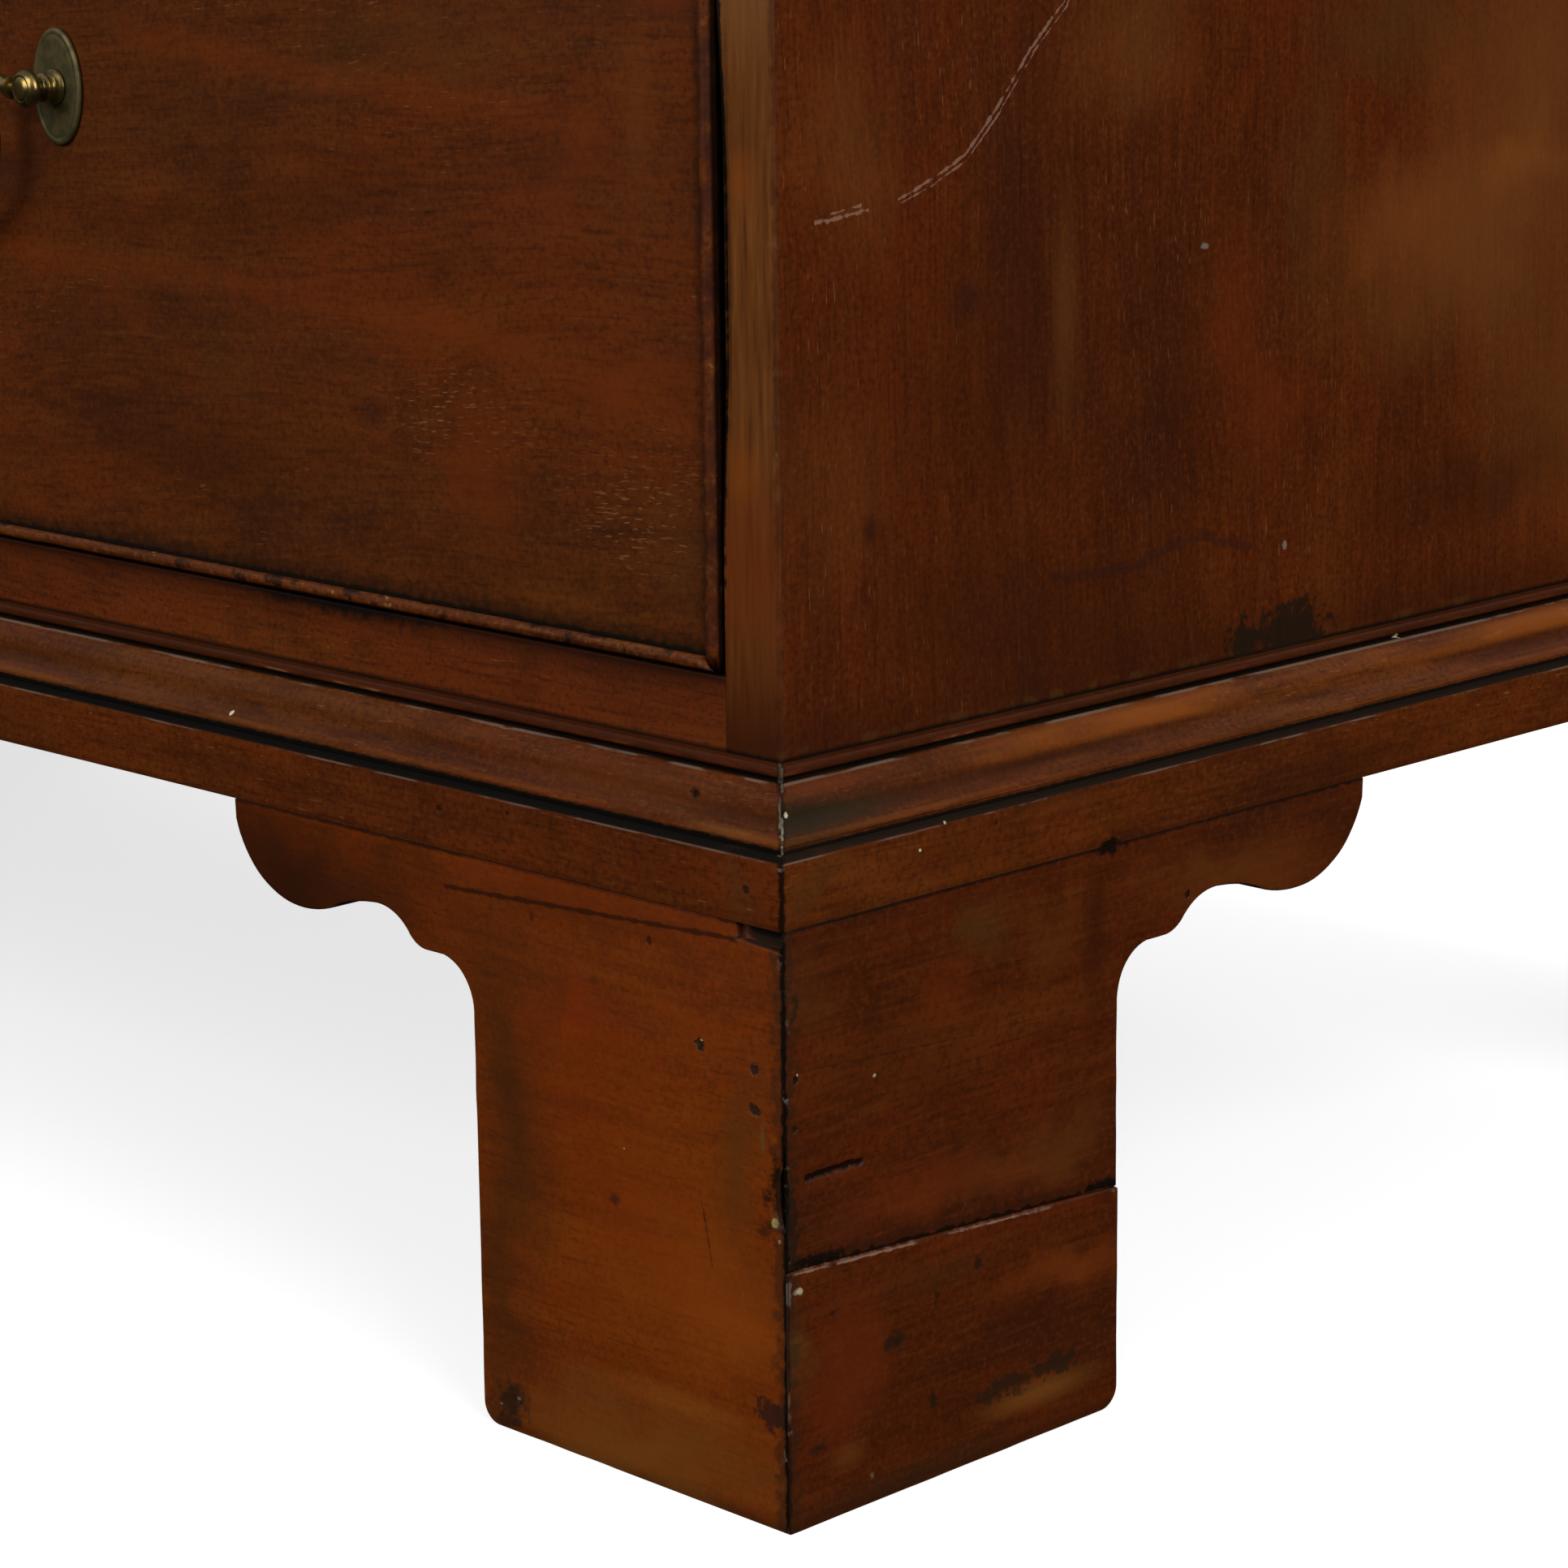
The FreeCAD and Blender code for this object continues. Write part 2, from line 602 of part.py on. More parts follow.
def drawer_back(floor, opening, sides):
    """Back of a drawer, its pins between the tails of the sides."""
    low = floor + DRAWER_BOTTOM_LIFT + DRAWER_BOTTOM_THICKNESS
    high = floor + opening - DRAWER_SIDE_DROP - DRAWER_BACK_DROP
    back = box(-DRAWER_HALF, DRAWER_HALF, DRAWER_END - DRAWER_BACK_THICKNESS, DRAWER_END, low, high)
    for side in sides:
        back = back.cut(side)
    return back.removeSplitter()


def bead_strips(z0, z1):
    """Four mitred cock beads, let in round the edge of a drawer front, each with a round nose."""
    nose = FRONT - BEAD_PROUD
    shoulder = nose + BEAD_WIDTH / 2
    inner_x = DRAWER_HALF - BEAD_WIDTH
    back = FRONT + BEAD_DEPTH

    def in_front(x, z):
        return Vector(x, nose, z)

    def upright(x, y):
        return Vector(x, y, z0)

    def level(z, y):
        return Vector(-DRAWER_HALF, y, z)

    reach = REARWARD * (back - nose)
    side_plan = outline_face(in_front, (DRAWER_HALF, z0), (DRAWER_HALF, z1),
                             (inner_x, z1 - BEAD_WIDTH), (inner_x, z0 + BEAD_WIDTH)).extrude(reach)
    side = outline_face(upright, (inner_x, back), (inner_x, shoulder),
                        (DRAWER_HALF - BEAD_WIDTH / 2, nose, DRAWER_HALF, shoulder),
                        (DRAWER_HALF, back)).extrude(UP * (z1 - z0)).common(side_plan)
    strips = both_hands(side)
    for low, inner in ((z0, z0 + BEAD_WIDTH), (z1, z1 - BEAD_WIDTH)):
        plan = outline_face(in_front, (-DRAWER_HALF, low), (DRAWER_HALF, low),
                            (inner_x, inner), (-inner_x, inner)).extrude(reach)
        bar = outline_face(level, (low, back), (low, shoulder), ((low + inner) / 2, nose, inner, shoulder),
                           (inner, back)).extrude(RIGHT * 2 * DRAWER_HALF)
        strips.append(bar.common(plan))
    return strips


def keyhole(z, wall, y0, y1):
    """Keyhole-shaped bar between two depths: a round head over a tapering slot."""
    radius = KEYHOLE_RADIUS + wall
    half = KEYHOLE_SLOT / 2 + wall
    head = Part.makeCylinder(radius, y1 - y0, Vector(0, y0, z), REARWARD)
    slot = box(-half, half, y0, y1, z - KEYHOLE_LENGTH - wall, z)
    return head.fuse(slot).removeSplitter()


def bolt_range():
    """Front and back of a lock bolt."""
    y0 = FRONT_BACK - LOCK_DEPTH + LOCK_FRONT_WALL
    return y0, y0 + BOLT_THICKNESS


def lock_bolt(top):
    """Bolt, level with the top of the drawer front when unlocked."""
    y0, y1 = bolt_range()
    return box(-BOLT_WIDTH / 2, BOLT_WIDTH / 2, y0, y1, top - BOLT_HEIGHT, top)


def lock_case(top):
    """Lock case, let in flush behind the drawer front, with a channel for the bolt."""
    y0, y1 = bolt_range()
    half = BOLT_WIDTH / 2 + BOLT_CLEARANCE
    case = box(-LOCK_WIDTH / 2, LOCK_WIDTH / 2, FRONT_BACK - LOCK_DEPTH, FRONT_BACK,
               top - LOCK_HEIGHT, top)
    channel = box(-half, half, y0 - BOLT_CLEARANCE, y1 + BOLT_CLEARANCE,
                  top - BOLT_HEIGHT - BOLT_CLEARANCE, top)
    key_way = keyhole(top - KEYHOLE_DROP, 0.0, FRONT_BACK - LOCK_DEPTH, y1)
    return case.cut(channel).cut(key_way).removeSplitter()


def post_places():
    """Where the four handle posts of a drawer stand along the front."""
    return [hand * (HANDLE_PLACE + side * POST_SPACING / 2) for hand in (-1, 1) for side in (-1, 1)]


def handle_height(floor, opening):
    """Height of the handle pivots, a little above the middle of the drawer."""
    return floor + opening / 2 + HANDLE_ABOVE_MIDDLE


def handle_mount(x, z):
    """Oval plate, turned post with its shank, and the nut behind the drawer front."""
    hole = SHANK_RADIUS + SHANK_CLEARANCE
    oval = Part.Ellipse(Vector(0, 0, 0), PLATE_HEIGHT / 2, PLATE_WIDTH / 2).toShape()
    plate = Part.Face(Part.Wire([oval])).extrude(UP * PLATE_THICKNESS)
    rim = [edge for edge in plate.Edges
           if edge.Closed and edge.CenterOfMass.z > PLATE_THICKNESS / 2]
    plate = plate.makeChamfer(PLATE_BEVEL, rim)
    plate.rotate(Vector(0, 0, 0), UP, 90)
    plate.rotate(Vector(0, 0, 0), RIGHT, 90)
    plate.translate(Vector(x, FRONT, z))
    bore = Part.makeCylinder(hole, PLATE_THICKNESS, Vector(x, FRONT, z), Vector(0, -1, 0))
    plate = plate.cut(bore)

    def on_ball(radius, depth):
        """Point of the flattened ball, in shares of its radius and of its half depth."""
        return BALL_RADIUS * radius, POST_REACH + BALL_DEPTH / 2 * depth

    boss = (BOSS_RADIUS, PLATE_THICKNESS)
    boss_front = (STEM_RADIUS, PLATE_THICKNESS + BOSS_THICKNESS)
    nut_back = -FRONT_THICKNESS - NUT_THICKNESS
    inward = -1 if (abs(x) > HANDLE_PLACE) == (x > 0) else 1
    pin_hole = Part.makeCylinder(PIN_RADIUS + PIN_CLEARANCE, BALL_RADIUS + PIN_DEPTH + COLLAR_GAP,
                                 Vector(x - inward * (PIN_DEPTH + COLLAR_GAP), PIVOT_Y, z),
                                 Vector(inward, 0, 0))
    post = turned(x, FRONT, z, (0.0, nut_back), (SHANK_RADIUS, nut_back),
                  (SHANK_RADIUS, PLATE_THICKNESS), boss,
                  swelling_step(boss, boss_front, -BOSS_SWELL),
                  (STEM_RADIUS, RING_PLACE - RING_THICKNESS / 2),
                  (RING_RADIUS, RING_PLACE, STEM_RADIUS, RING_PLACE + RING_THICKNESS / 2),
                  on_ball(0.51, -0.86),
                  (*on_ball(0.85, -0.53), *on_ball(1.0, 0.0)),
                  (*on_ball(0.85, 0.53), *on_ball(0.68, 0.73)),
                  (*on_ball(0.62, 0.66), *on_ball(0.55, 0.79)),
                  (*on_ball(0.35, 0.94), *on_ball(0.1, 1.0)),
                  on_ball(0.0, 1.0)).cut(pin_hole)

    nut = box(x - NUT_SIZE / 2, x + NUT_SIZE / 2, FRONT_BACK, FRONT_BACK + NUT_THICKNESS,
              z - NUT_SIZE / 2, z + NUT_SIZE / 2)
    nut = nut.cut(Part.makeCylinder(hole, NUT_THICKNESS, Vector(x, FRONT_BACK, z), REARWARD))
    return [plate, post, nut]


def bail(middle, z):
    """Swan-neck bail hanging between two posts: a pin in each ball, a collar, a neck that rises a
    little and turns over, down and back outward, and a bow."""
    def around(centre, radius, angle):
        return centre[0] + radius * cos(radians(angle)), centre[1] + radius * sin(radians(angle))

    collar_x = POST_SPACING / 2 - BALL_RADIUS - COLLAR_GAP
    start = (collar_x - NECK_LENGTH, 0.0)
    rise_centre = (start[0], NECK_RISE_RADIUS)
    rise_middle = around(rise_centre, NECK_RISE_RADIUS, -90 - NECK_RISE_TURN / 2)
    rise_end = around(rise_centre, NECK_RISE_RADIUS, -90 - NECK_RISE_TURN)
    neck_centre = around(rise_end, NECK_RADIUS, -90 - NECK_RISE_TURN)
    neck_middle = around(neck_centre, NECK_RADIUS, 90 + (90 + NECK_TURN_BACK - NECK_RISE_TURN) / 2)
    neck_end = around(neck_centre, NECK_RADIUS, 180 + NECK_TURN_BACK)
    bow_centre = around(neck_end, BOW_RADIUS, 180 + NECK_TURN_BACK)

    def on_bow(angle):
        return around(bow_centre, BOW_RADIUS, angle)

    bow_end = on_bow(-BOW_TURN)
    bow_middle = on_bow((NECK_TURN_BACK - BOW_TURN) / 2)
    foot_radius = bow_end[0] / cos(radians(BOW_TURN))
    foot = (0.0, bow_end[1] + foot_radius * sin(radians(BOW_TURN)) - foot_radius)

    def place(across, up):
        return Vector(middle + across, PIVOT_Y, z + up)

    def arc(first, between, last):
        return Part.Arc(place(*first), place(*between), place(*last)).toShape()

    def other(point):
        return (-point[0], point[1])

    collar = (collar_x, 0.0)
    edges = [Part.makeLine(place(*collar), place(*start)),
             arc(start, rise_middle, rise_end),
             arc(rise_end, neck_middle, neck_end),
             arc(neck_end, bow_middle, bow_end),
             arc(bow_end, foot, other(bow_end)),
             arc(other(bow_end), other(bow_middle), other(neck_end)),
             arc(other(neck_end), other(neck_middle), other(rise_end)),
             arc(other(rise_end), other(rise_middle), other(start)),
             Part.makeLine(place(*other(start)), place(*other(collar)))]
    circle = Part.Wire([Part.makeCircle(BAIL_RADIUS, place(*collar), RIGHT)])
    rod = Part.Wire(edges).makePipeShell([circle], True, True)
    for hand in (-1, 1):
        pin = Part.makeCylinder(PIN_RADIUS, BALL_RADIUS + PIN_DEPTH + COLLAR_GAP,
                                place(hand * collar_x, 0.0), RIGHT * hand)
        ring = Part.makeCylinder(COLLAR_RADIUS, COLLAR_THICKNESS,
                                 place(hand * (collar_x - COLLAR_THICKNESS), 0.0), RIGHT * hand)
        rod = rod.fuse(pin).fuse(ring)
    return rod.removeSplitter()


def drawer_front(z0, z1, floor, opening, sides):
    """Drawer front, rebated for its beads, with sockets for the tails, a groove for the bottom, a
    recess for the lock, a keyhole and holes for the handle shanks."""
    board = box(-DRAWER_HALF, DRAWER_HALF, FRONT, FRONT_BACK, z0, z1)
    rebated = box(-DRAWER_HALF, DRAWER_HALF, FRONT, FRONT + BEAD_DEPTH, z0, z1).cut(
        box(-DRAWER_HALF + BEAD_WIDTH, DRAWER_HALF - BEAD_WIDTH, FRONT, FRONT + BEAD_DEPTH,
            z0 + BEAD_WIDTH, z1 - BEAD_WIDTH))
    board = board.cut(rebated).cut(drawer_bottom(floor))
    for side in sides:
        board = board.cut(side)
    board = board.cut(box(-LOCK_WIDTH / 2, LOCK_WIDTH / 2, FRONT_BACK - LOCK_DEPTH, FRONT_BACK,
                          z1 - LOCK_HEIGHT, z1))
    key_z = z1 - KEYHOLE_DROP
    board = board.cut(keyhole(key_z, ESCUTCHEON_WALL, FRONT, FRONT + ESCUTCHEON_DEPTH))
    board = board.cut(keyhole(key_z, 0.0, FRONT, FRONT_BACK - LOCK_DEPTH))
    for x in post_places():
        board = board.cut(Part.makeCylinder(SHANK_RADIUS + SHANK_CLEARANCE, FRONT_THICKNESS,
                                            Vector(x, FRONT, handle_height(floor, opening)), REARWARD))
    return board.removeSplitter()


def write_drawer(name, floor, opening, count):
    """All the pieces of one drawer."""
    z0 = floor + DRAWER_FOOT_GAP
    z1 = floor + opening - DRAWER_TOP_GAP
    pivot = handle_height(floor, opening)
    sides = both_hands(drawer_side(floor, opening, count))
    key_z = z1 - KEYHOLE_DROP
    escutcheon = keyhole(key_z, ESCUTCHEON_WALL, FRONT, FRONT + ESCUTCHEON_DEPTH).cut(
        keyhole(key_z, 0.0, FRONT, FRONT + ESCUTCHEON_DEPTH))
    mounts = []
    for x in post_places():
        mounts += handle_mount(x, pivot)
    write("drawer_" + name + "_front", drawer_front(z0, z1, floor, opening, sides))
    write("drawer_" + name + "_beads", *bead_strips(z0, z1))
    write("drawer_" + name + "_sides", *sides)
    write("drawer_" + name + "_back", drawer_back(floor, opening, sides))
    write("drawer_" + name + "_bottom", drawer_bottom(floor))
    write("drawer_" + name + "_handle_mounts", *mounts)
    write("drawer_" + name + "_bail_left", bail(-HANDLE_PLACE, pivot))
    write("drawer_" + name + "_bail_right", bail(HANDLE_PLACE, pivot))
    write("drawer_" + name + "_lock", lock_case(z1), escutcheon)
    write("drawer_" + name + "_lock_bolt", lock_bolt(z1))


# ---- brushing slide ----

def slide_pieces():
    """Panel of the brushing slide and its two cross-grained end clamps."""
    z0 = SLIDE_FLOOR + RUNNING_GAP
    z1 = z0 + SLIDE_THICKNESS
    y0 = SLIDE_FRONT
    y1 = SLIDE_BACK
    reach = INSIDE - SLIDE_SIDE_GAP
    joint = reach - CLAMP_WIDTH
    middle = (z0 + z1) / 2
    tongue = box(-joint - CLAMP_TONGUE, joint + CLAMP_TONGUE, y0 + CLAMP_TONGUE, y1,
                 middle - CLAMP_TONGUE_THICKNESS / 2, middle + CLAMP_TONGUE_THICKNESS / 2)
    panel = box(-joint, joint, y0, y1, z0, z1).fuse(tongue)
    for x in (-HANDLE_PLACE, HANDLE_PLACE):
        panel = panel.cut(Part.makeCylinder(SHANK_RADIUS + SHANK_CLEARANCE, KNOB_SHANK_LENGTH,
                                            Vector(x, y0, middle), REARWARD))
    clamp = box(joint, reach, y0, y1, z0, z1).cut(tongue)
    return [panel.removeSplitter()] + both_hands(clamp)


def slide_knob(x):
    """Small turned brass knob with its shank."""
    y = SLIDE_FRONT
    z = SLIDE_FLOOR + RUNNING_GAP + SLIDE_THICKNESS / 2
    neck = (STEM_RADIUS, KNOB_REACH / 4)
    head = (KNOB_RADIUS, KNOB_REACH / 2 + KNOB_ROSE_THICKNESS)
    return turned(x, y, z, (0.0, -KNOB_SHANK_LENGTH), (SHANK_RADIUS, -KNOB_SHANK_LENGTH),
                  (SHANK_RADIUS, 0.0), (KNOB_ROSE, 0.0), (KNOB_ROSE, KNOB_ROSE_THICKNESS),
                  swelling_step((KNOB_ROSE, KNOB_ROSE_THICKNESS), neck, KNOB_ROSE_THICKNESS / 2),
                  (STEM_RADIUS, head[1] - 2 * KNOB_ROSE_THICKNESS), head,
                  swelling_step(head, (KNOB_TIP, KNOB_REACH), -KNOB_SWELL),
                  (0.0, KNOB_REACH))


# ---- writing ----

def main():
    os.makedirs("parts", exist_ok=True)

    sides = both_hands(side_panel())
    write("side_right", sides[0])
    write("side_left", sides[1])
    write("top_board", top_board(sides))
    write("bottom_board", bottom_board())
    write("bottom_rail", bottom_rail())
    levels = rail_levels()
    for name, z in zip(("rail_lower", "rail_upper", "rail_slide"), levels):
        write(name, rail(z))
    write("dust_boards", *[dust_board(z) for z in levels])
    write("runners", *[piece for z in levels for piece in both_hands(runner(z))])
    stops = [piece for floor in drawer_floors() for piece in both_hands(drawer_stop(floor))]
    write("drawer_stops", *stops, *both_hands(slide_stop()))
    write("back_boards", *[back_board(index) for index in range(BACK_BOARD_COUNT)])

    moulding = moulding_outline()
    moulding_right = right_run(0.0, MOULDING_FOOT, *moulding)
    write("base_moulding_front", front_run(0.0, MOULDING_FOOT, *moulding))
    write("base_moulding_right", moulding_right)
    write("base_moulding_left", mirrored(moulding_right))
    band = band_outline()
    band_inset = BAND_WIDTH - BASE_OVERHANG
    band_right = right_run(band_inset, BASE_OVERHANG, *band)
    write("base_band_front", front_run(band_inset, BASE_OVERHANG, *band))
    write("base_band_right", band_right)
    write("base_band_left", mirrored(band_right))
    write("base_band_back", box(band_inset - HALF, HALF - band_inset, BACK - BAND_WIDTH, BACK,
                                BRACKET_HEIGHT, CARCASS_BOTTOM))

    front = front_bracket()
    side = side_bracket()
    rear = rear_side_bracket()
    write("foot_front_right_face", front.cut(shim_gap()))
    write("foot_front_left_face", mirrored(front))
    write("foot_front_right_side", side.cut(tip_region()))
    write("foot_front_right_tip", side_bracket(TIP_PROUD).common(tip_region()))
    write("foot_front_left_side", mirrored(side))
    write("foot_rear_right_side", rear)
    write("foot_rear_left_side", mirrored(rear))
    write("foot_rear_backs", *both_hands(back_bracket()))
    write("foot_blocks", *[piece for block in foot_blocks() for piece in both_hands(block)])

    for name, floor, opening, count in zip(DRAWER_NAMES, drawer_floors(), DRAWER_OPENINGS,
                                           DRAWER_TAIL_COUNTS):
        write_drawer(name, floor, opening, count)

    write("brushing_slide", *slide_pieces())
    write("slide_knobs", slide_knob(-HANDLE_PLACE), slide_knob(HANDLE_PLACE))


main()
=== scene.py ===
import json
from collections import namedtuple
from functools import reduce
from math import pi, radians

import bmesh
import bpy
from mathutils import Matrix, Vector, noise

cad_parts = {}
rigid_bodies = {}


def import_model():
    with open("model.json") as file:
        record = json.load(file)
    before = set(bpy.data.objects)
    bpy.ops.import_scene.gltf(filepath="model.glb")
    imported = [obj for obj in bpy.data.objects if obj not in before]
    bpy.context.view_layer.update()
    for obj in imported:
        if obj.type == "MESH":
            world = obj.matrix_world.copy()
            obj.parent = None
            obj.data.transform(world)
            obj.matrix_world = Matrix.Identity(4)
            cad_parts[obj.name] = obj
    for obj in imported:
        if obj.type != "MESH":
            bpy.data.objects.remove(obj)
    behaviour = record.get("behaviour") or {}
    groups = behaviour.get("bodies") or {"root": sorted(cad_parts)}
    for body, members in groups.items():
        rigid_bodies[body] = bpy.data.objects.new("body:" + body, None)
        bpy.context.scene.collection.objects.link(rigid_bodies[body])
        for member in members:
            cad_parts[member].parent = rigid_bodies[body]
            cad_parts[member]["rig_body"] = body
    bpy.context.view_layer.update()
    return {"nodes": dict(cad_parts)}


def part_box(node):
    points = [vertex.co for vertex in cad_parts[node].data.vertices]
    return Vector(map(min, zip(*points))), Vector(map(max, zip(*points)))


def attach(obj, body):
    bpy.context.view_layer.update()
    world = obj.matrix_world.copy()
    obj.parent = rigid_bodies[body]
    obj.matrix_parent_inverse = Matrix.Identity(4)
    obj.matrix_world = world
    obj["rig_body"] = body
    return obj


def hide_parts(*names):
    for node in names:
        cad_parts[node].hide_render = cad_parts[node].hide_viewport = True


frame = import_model()
nodes = frame["nodes"]

# ---- Carcass sides ----
# Two solid mahogany boards with the grain upright. Their front edges show as the stiles beside
# the drawers; the rails are housed in them and the back is let into a rebate. Two centuries of
# wax, dusting and knocks have darkened the hollows and rubbed the arrises round.
MM = 0.001
FAR = 9000.0
Corner = namedtuple("Corner", "x y z")


def corners(node):
    """Lowest and highest corner of a CAD piece."""
    return [Corner(*(level / MM for level in corner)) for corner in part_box(node)]


def metres(place):
    """Place or size in metres, as Blender has it."""
    return Vector([level * MM for level in place])


def tone(red, green, blue):
    """Colour of a paint chip, as the shader wants it."""
    return tuple(((c / 255 + 0.055) / 1.055) ** 2.4 if c > 10 else c / 3294.6
                 for c in (red, green, blue)) + (1.0,)


def spread(axis, value, others):
    """Three numbers along x, y and z: value on one axis, and the others in turn."""
    rest = iter(others)
    return [value if name == axis else next(rest) for name in "XYZ"]


class Shading:
    """Shader nodes of a material or of the sky."""

    def __init__(self, tree):
        self.tree = tree

    def add(self, kind, *values, **settings):
        """New node with its first sockets fed from values: numbers, or other nodes' sockets."""
        node = self.tree.nodes.new("ShaderNode" + kind)
        for name, setting in settings.items():
            setattr(node, name, setting)
        for socket, value in zip(node.inputs, values):
            self.feed(socket, value)
        return node

    def feed(self, socket, value):
        """Link a socket to another node's socket, or set it to a number or a colour."""
        if isinstance(value, bpy.types.NodeSocket):
            self.tree.links.new(value, socket)
        elif value is not None:
            socket.default_value = tone(*value) if socket.type == "RGBA" else value

    def math(self, operation, *values):
        return self.add("Math", *values, operation=operation).outputs[0]

    def vector(self, operation, *values, result="Vector"):
        return self.add("VectorMath", *values, operation=operation).outputs[result]

    def ramp(self, value, low, high, to_low=0.0, to_high=1.0):
        """Smooth step from low to high, which may be given the other way round."""
        return self.add("MapRange", value, low, high, to_low, to_high,
                        interpolation_type="SMOOTHSTEP").outputs[0]


class Finish(Shading):
    """One material, laid on in coats: each coat mixes its colour over the ones below it. along is
    the axis that the grain runs along."""

    def __init__(self, name, colour, seed=0.0, along="X"):
        self.material = bpy.data.materials.new(name)
        self.material.use_nodes = True
        super().__init__(self.material.node_tree)
        self.tree.nodes.clear()
        self.place = self.add("TexCoord").outputs["Object"]
        self.grain = self.place
        self.torn = None
        self.drifted = None
        self.colour = colour
        self.seed = seed
        self.along = along
        self.roughness = 0.42
        self.relief = 0.0

    def rise(self, low, high, to_low=0.0, to_high=1.0):
        """Smooth step between two heights."""
        up = self.add("SeparateXYZ", self.place).outputs[2]
        return self.ramp(up, low * MM, high * MM, to_low, to_high)

    def ripples(self, lengthwise, crosswise, detail=2.0, seed=0.0, place=None):
        """Noise drawn out along the grain, from its ripples per metre along and across it."""
        start = (self.seed * 3.7 + seed, self.seed * 1.3 + seed * 2.1, self.seed * 2.9 + seed * 1.7)
        rate = spread(self.along, lengthwise, (crosswise, crosswise))
        turned = self.add("Mapping", place or self.grain, start, (0.0, 0.0, 0.0), rate).outputs[0]
        return self.add("TexNoise", turned, None, 1.0, detail, 0.55).outputs[0]

    def blotches(self, rate, detail, seed=0.0):
        """Noise that is alike in all directions."""
        return self.ripples(rate, rate, detail, seed, self.place)

    def flow(self, sway, tilt=0.0):
        """Let the grain slope by tilt degrees and wander sideways by sway as it runs along."""
        turn = [0.0, 0.0, 0.0]
        turn[1 if self.along == "X" else 0] = radians(tilt)
        sloped = self.add("Mapping", self.place, (0.0, 0.0, 0.0), turn, (1.0, 1.0, 1.0)).outputs[0]
        push = self.ripples(7.0, 14.0, 1.0, 50.0, sloped)
        push = self.math("MULTIPLY_ADD", push, 2.0 * sway * MM, -sway * MM)
        aside = self.add("CombineXYZ", *spread(self.along, 0.0, (push, push))).outputs[0]
        self.grain = self.vector("ADD", sloped, aside)

    def ragged_by(self, reach, share):
        """Roughen the edge of a mask by a share of its reach, with one noise for them all."""
        if not share:
            return reach
        if self.torn is None:
            self.torn = self.ramp(self.blotches(420.0, 5.0, 60.0), 0.3, 0.7, -1.0, 1.0)
        return self.math("MULTIPLY_ADD", self.torn, share, reach)

    def spot(self, centre, radii, soft=0.5, ragged=0.0, place=None):
        """Mask that is 1 inside an ellipsoid and fades over its outer share. A radius of FAR
        makes it a rod or a layer."""
        offset = self.vector("SUBTRACT", place or self.place, metres(centre))
        reach = self.vector("LENGTH", self.vector("DIVIDE", offset, metres(radii)), result="Value")
        return self.ramp(self.ragged_by(reach, ragged), 1.0, 1.0 - soft)

    def layer(self, axis, level, half, soft=0.7, ragged=0.0):
        """Mask of a flat layer across one axis."""
        return self.spot(spread(axis, level, (0.0, 0.0)), spread(axis, half, (FAR, FAR)), soft, ragged)

    def patch(self, through, u, v, half_u, half_v, soft=1.0, ragged=0.0, place=None):
        """Mask of a patch that goes right through the board along one axis, from its middle and
        its half sizes along the other two."""
        return self.spot(spread(through, 0.0, (u, v)), spread(through, FAR, (half_u, half_v)),
                         soft, ragged, place)

    def stroke(self, through, start, end, width, ragged=0.6):
        """Mask along a line on a board, between two places on it."""
        start, end = (metres(spread(through, 0.0, place)) for place in (start, end))
        line = end - start
        flat = self.vector("MULTIPLY", self.place, spread(through, 0.0, (1.0, 1.0)))
        offset = self.vector("SUBTRACT", flat, start)
        share = self.vector("DOT_PRODUCT", offset, line, result="Value")
        share = self.math("MULTIPLY", share, 1.0 / line.length_squared)
        share = self.math("MINIMUM", self.math("MAXIMUM", share, 0.0), 1.0)
        nearest = self.vector("MULTIPLY", line, self.add("CombineXYZ", share, share, share).outputs[0])
        reach = self.vector("DISTANCE", offset, nearest, result="Value")
        return self.ramp(self.ragged_by(reach, ragged * width * MM), width * MM, width * 0.3 * MM)

    def any_of(self, masks):
        return reduce(lambda mask, other: self.math("MAXIMUM", mask, other), masks)

    def both(self, *masks):
        return reduce(lambda mask, other: self.math("MULTIPLY", mask, other), masks)

    def coat(self, colour, mask, strength=1.0, roughness=None, relief=0.0):
        """Mix a colour over the ones below, and where it lies also a roughness and a height."""
        share = mask if strength == 1.0 else self.math("MULTIPLY", mask, strength)
        mixed = self.add("Mix", data_type="RGBA")
        self.feed(mixed.inputs[0], share)
        self.feed(mixed.inputs[6], self.colour)
        self.feed(mixed.inputs[7], colour)
        self.colour = mixed.outputs[2]
        if roughness is not None:
            self.roughness = self.add("Mix", share, None, self.roughness, roughness).outputs[0]
        if relief:
            self.relief = self.math("MULTIPLY_ADD", share, relief * MM, self.relief)

    def line(self, colour, level, half, strength=1.0, soft=0.7, ragged=0.0, within=None, roughness=None):
        """Coat a level line, or only its part within another mask."""
        mask = self.layer("Z", level, half, soft, ragged)
        self.coat(colour, self.both(mask, within) if within else mask, strength, roughness)

    def tint(self, colour, ripple, low, high, strength, relief=0.0):
        """Coat that lies where a noise goes from low to high."""
        self.coat(colour, self.ramp(ripple, low, high), strength, relief=relief)

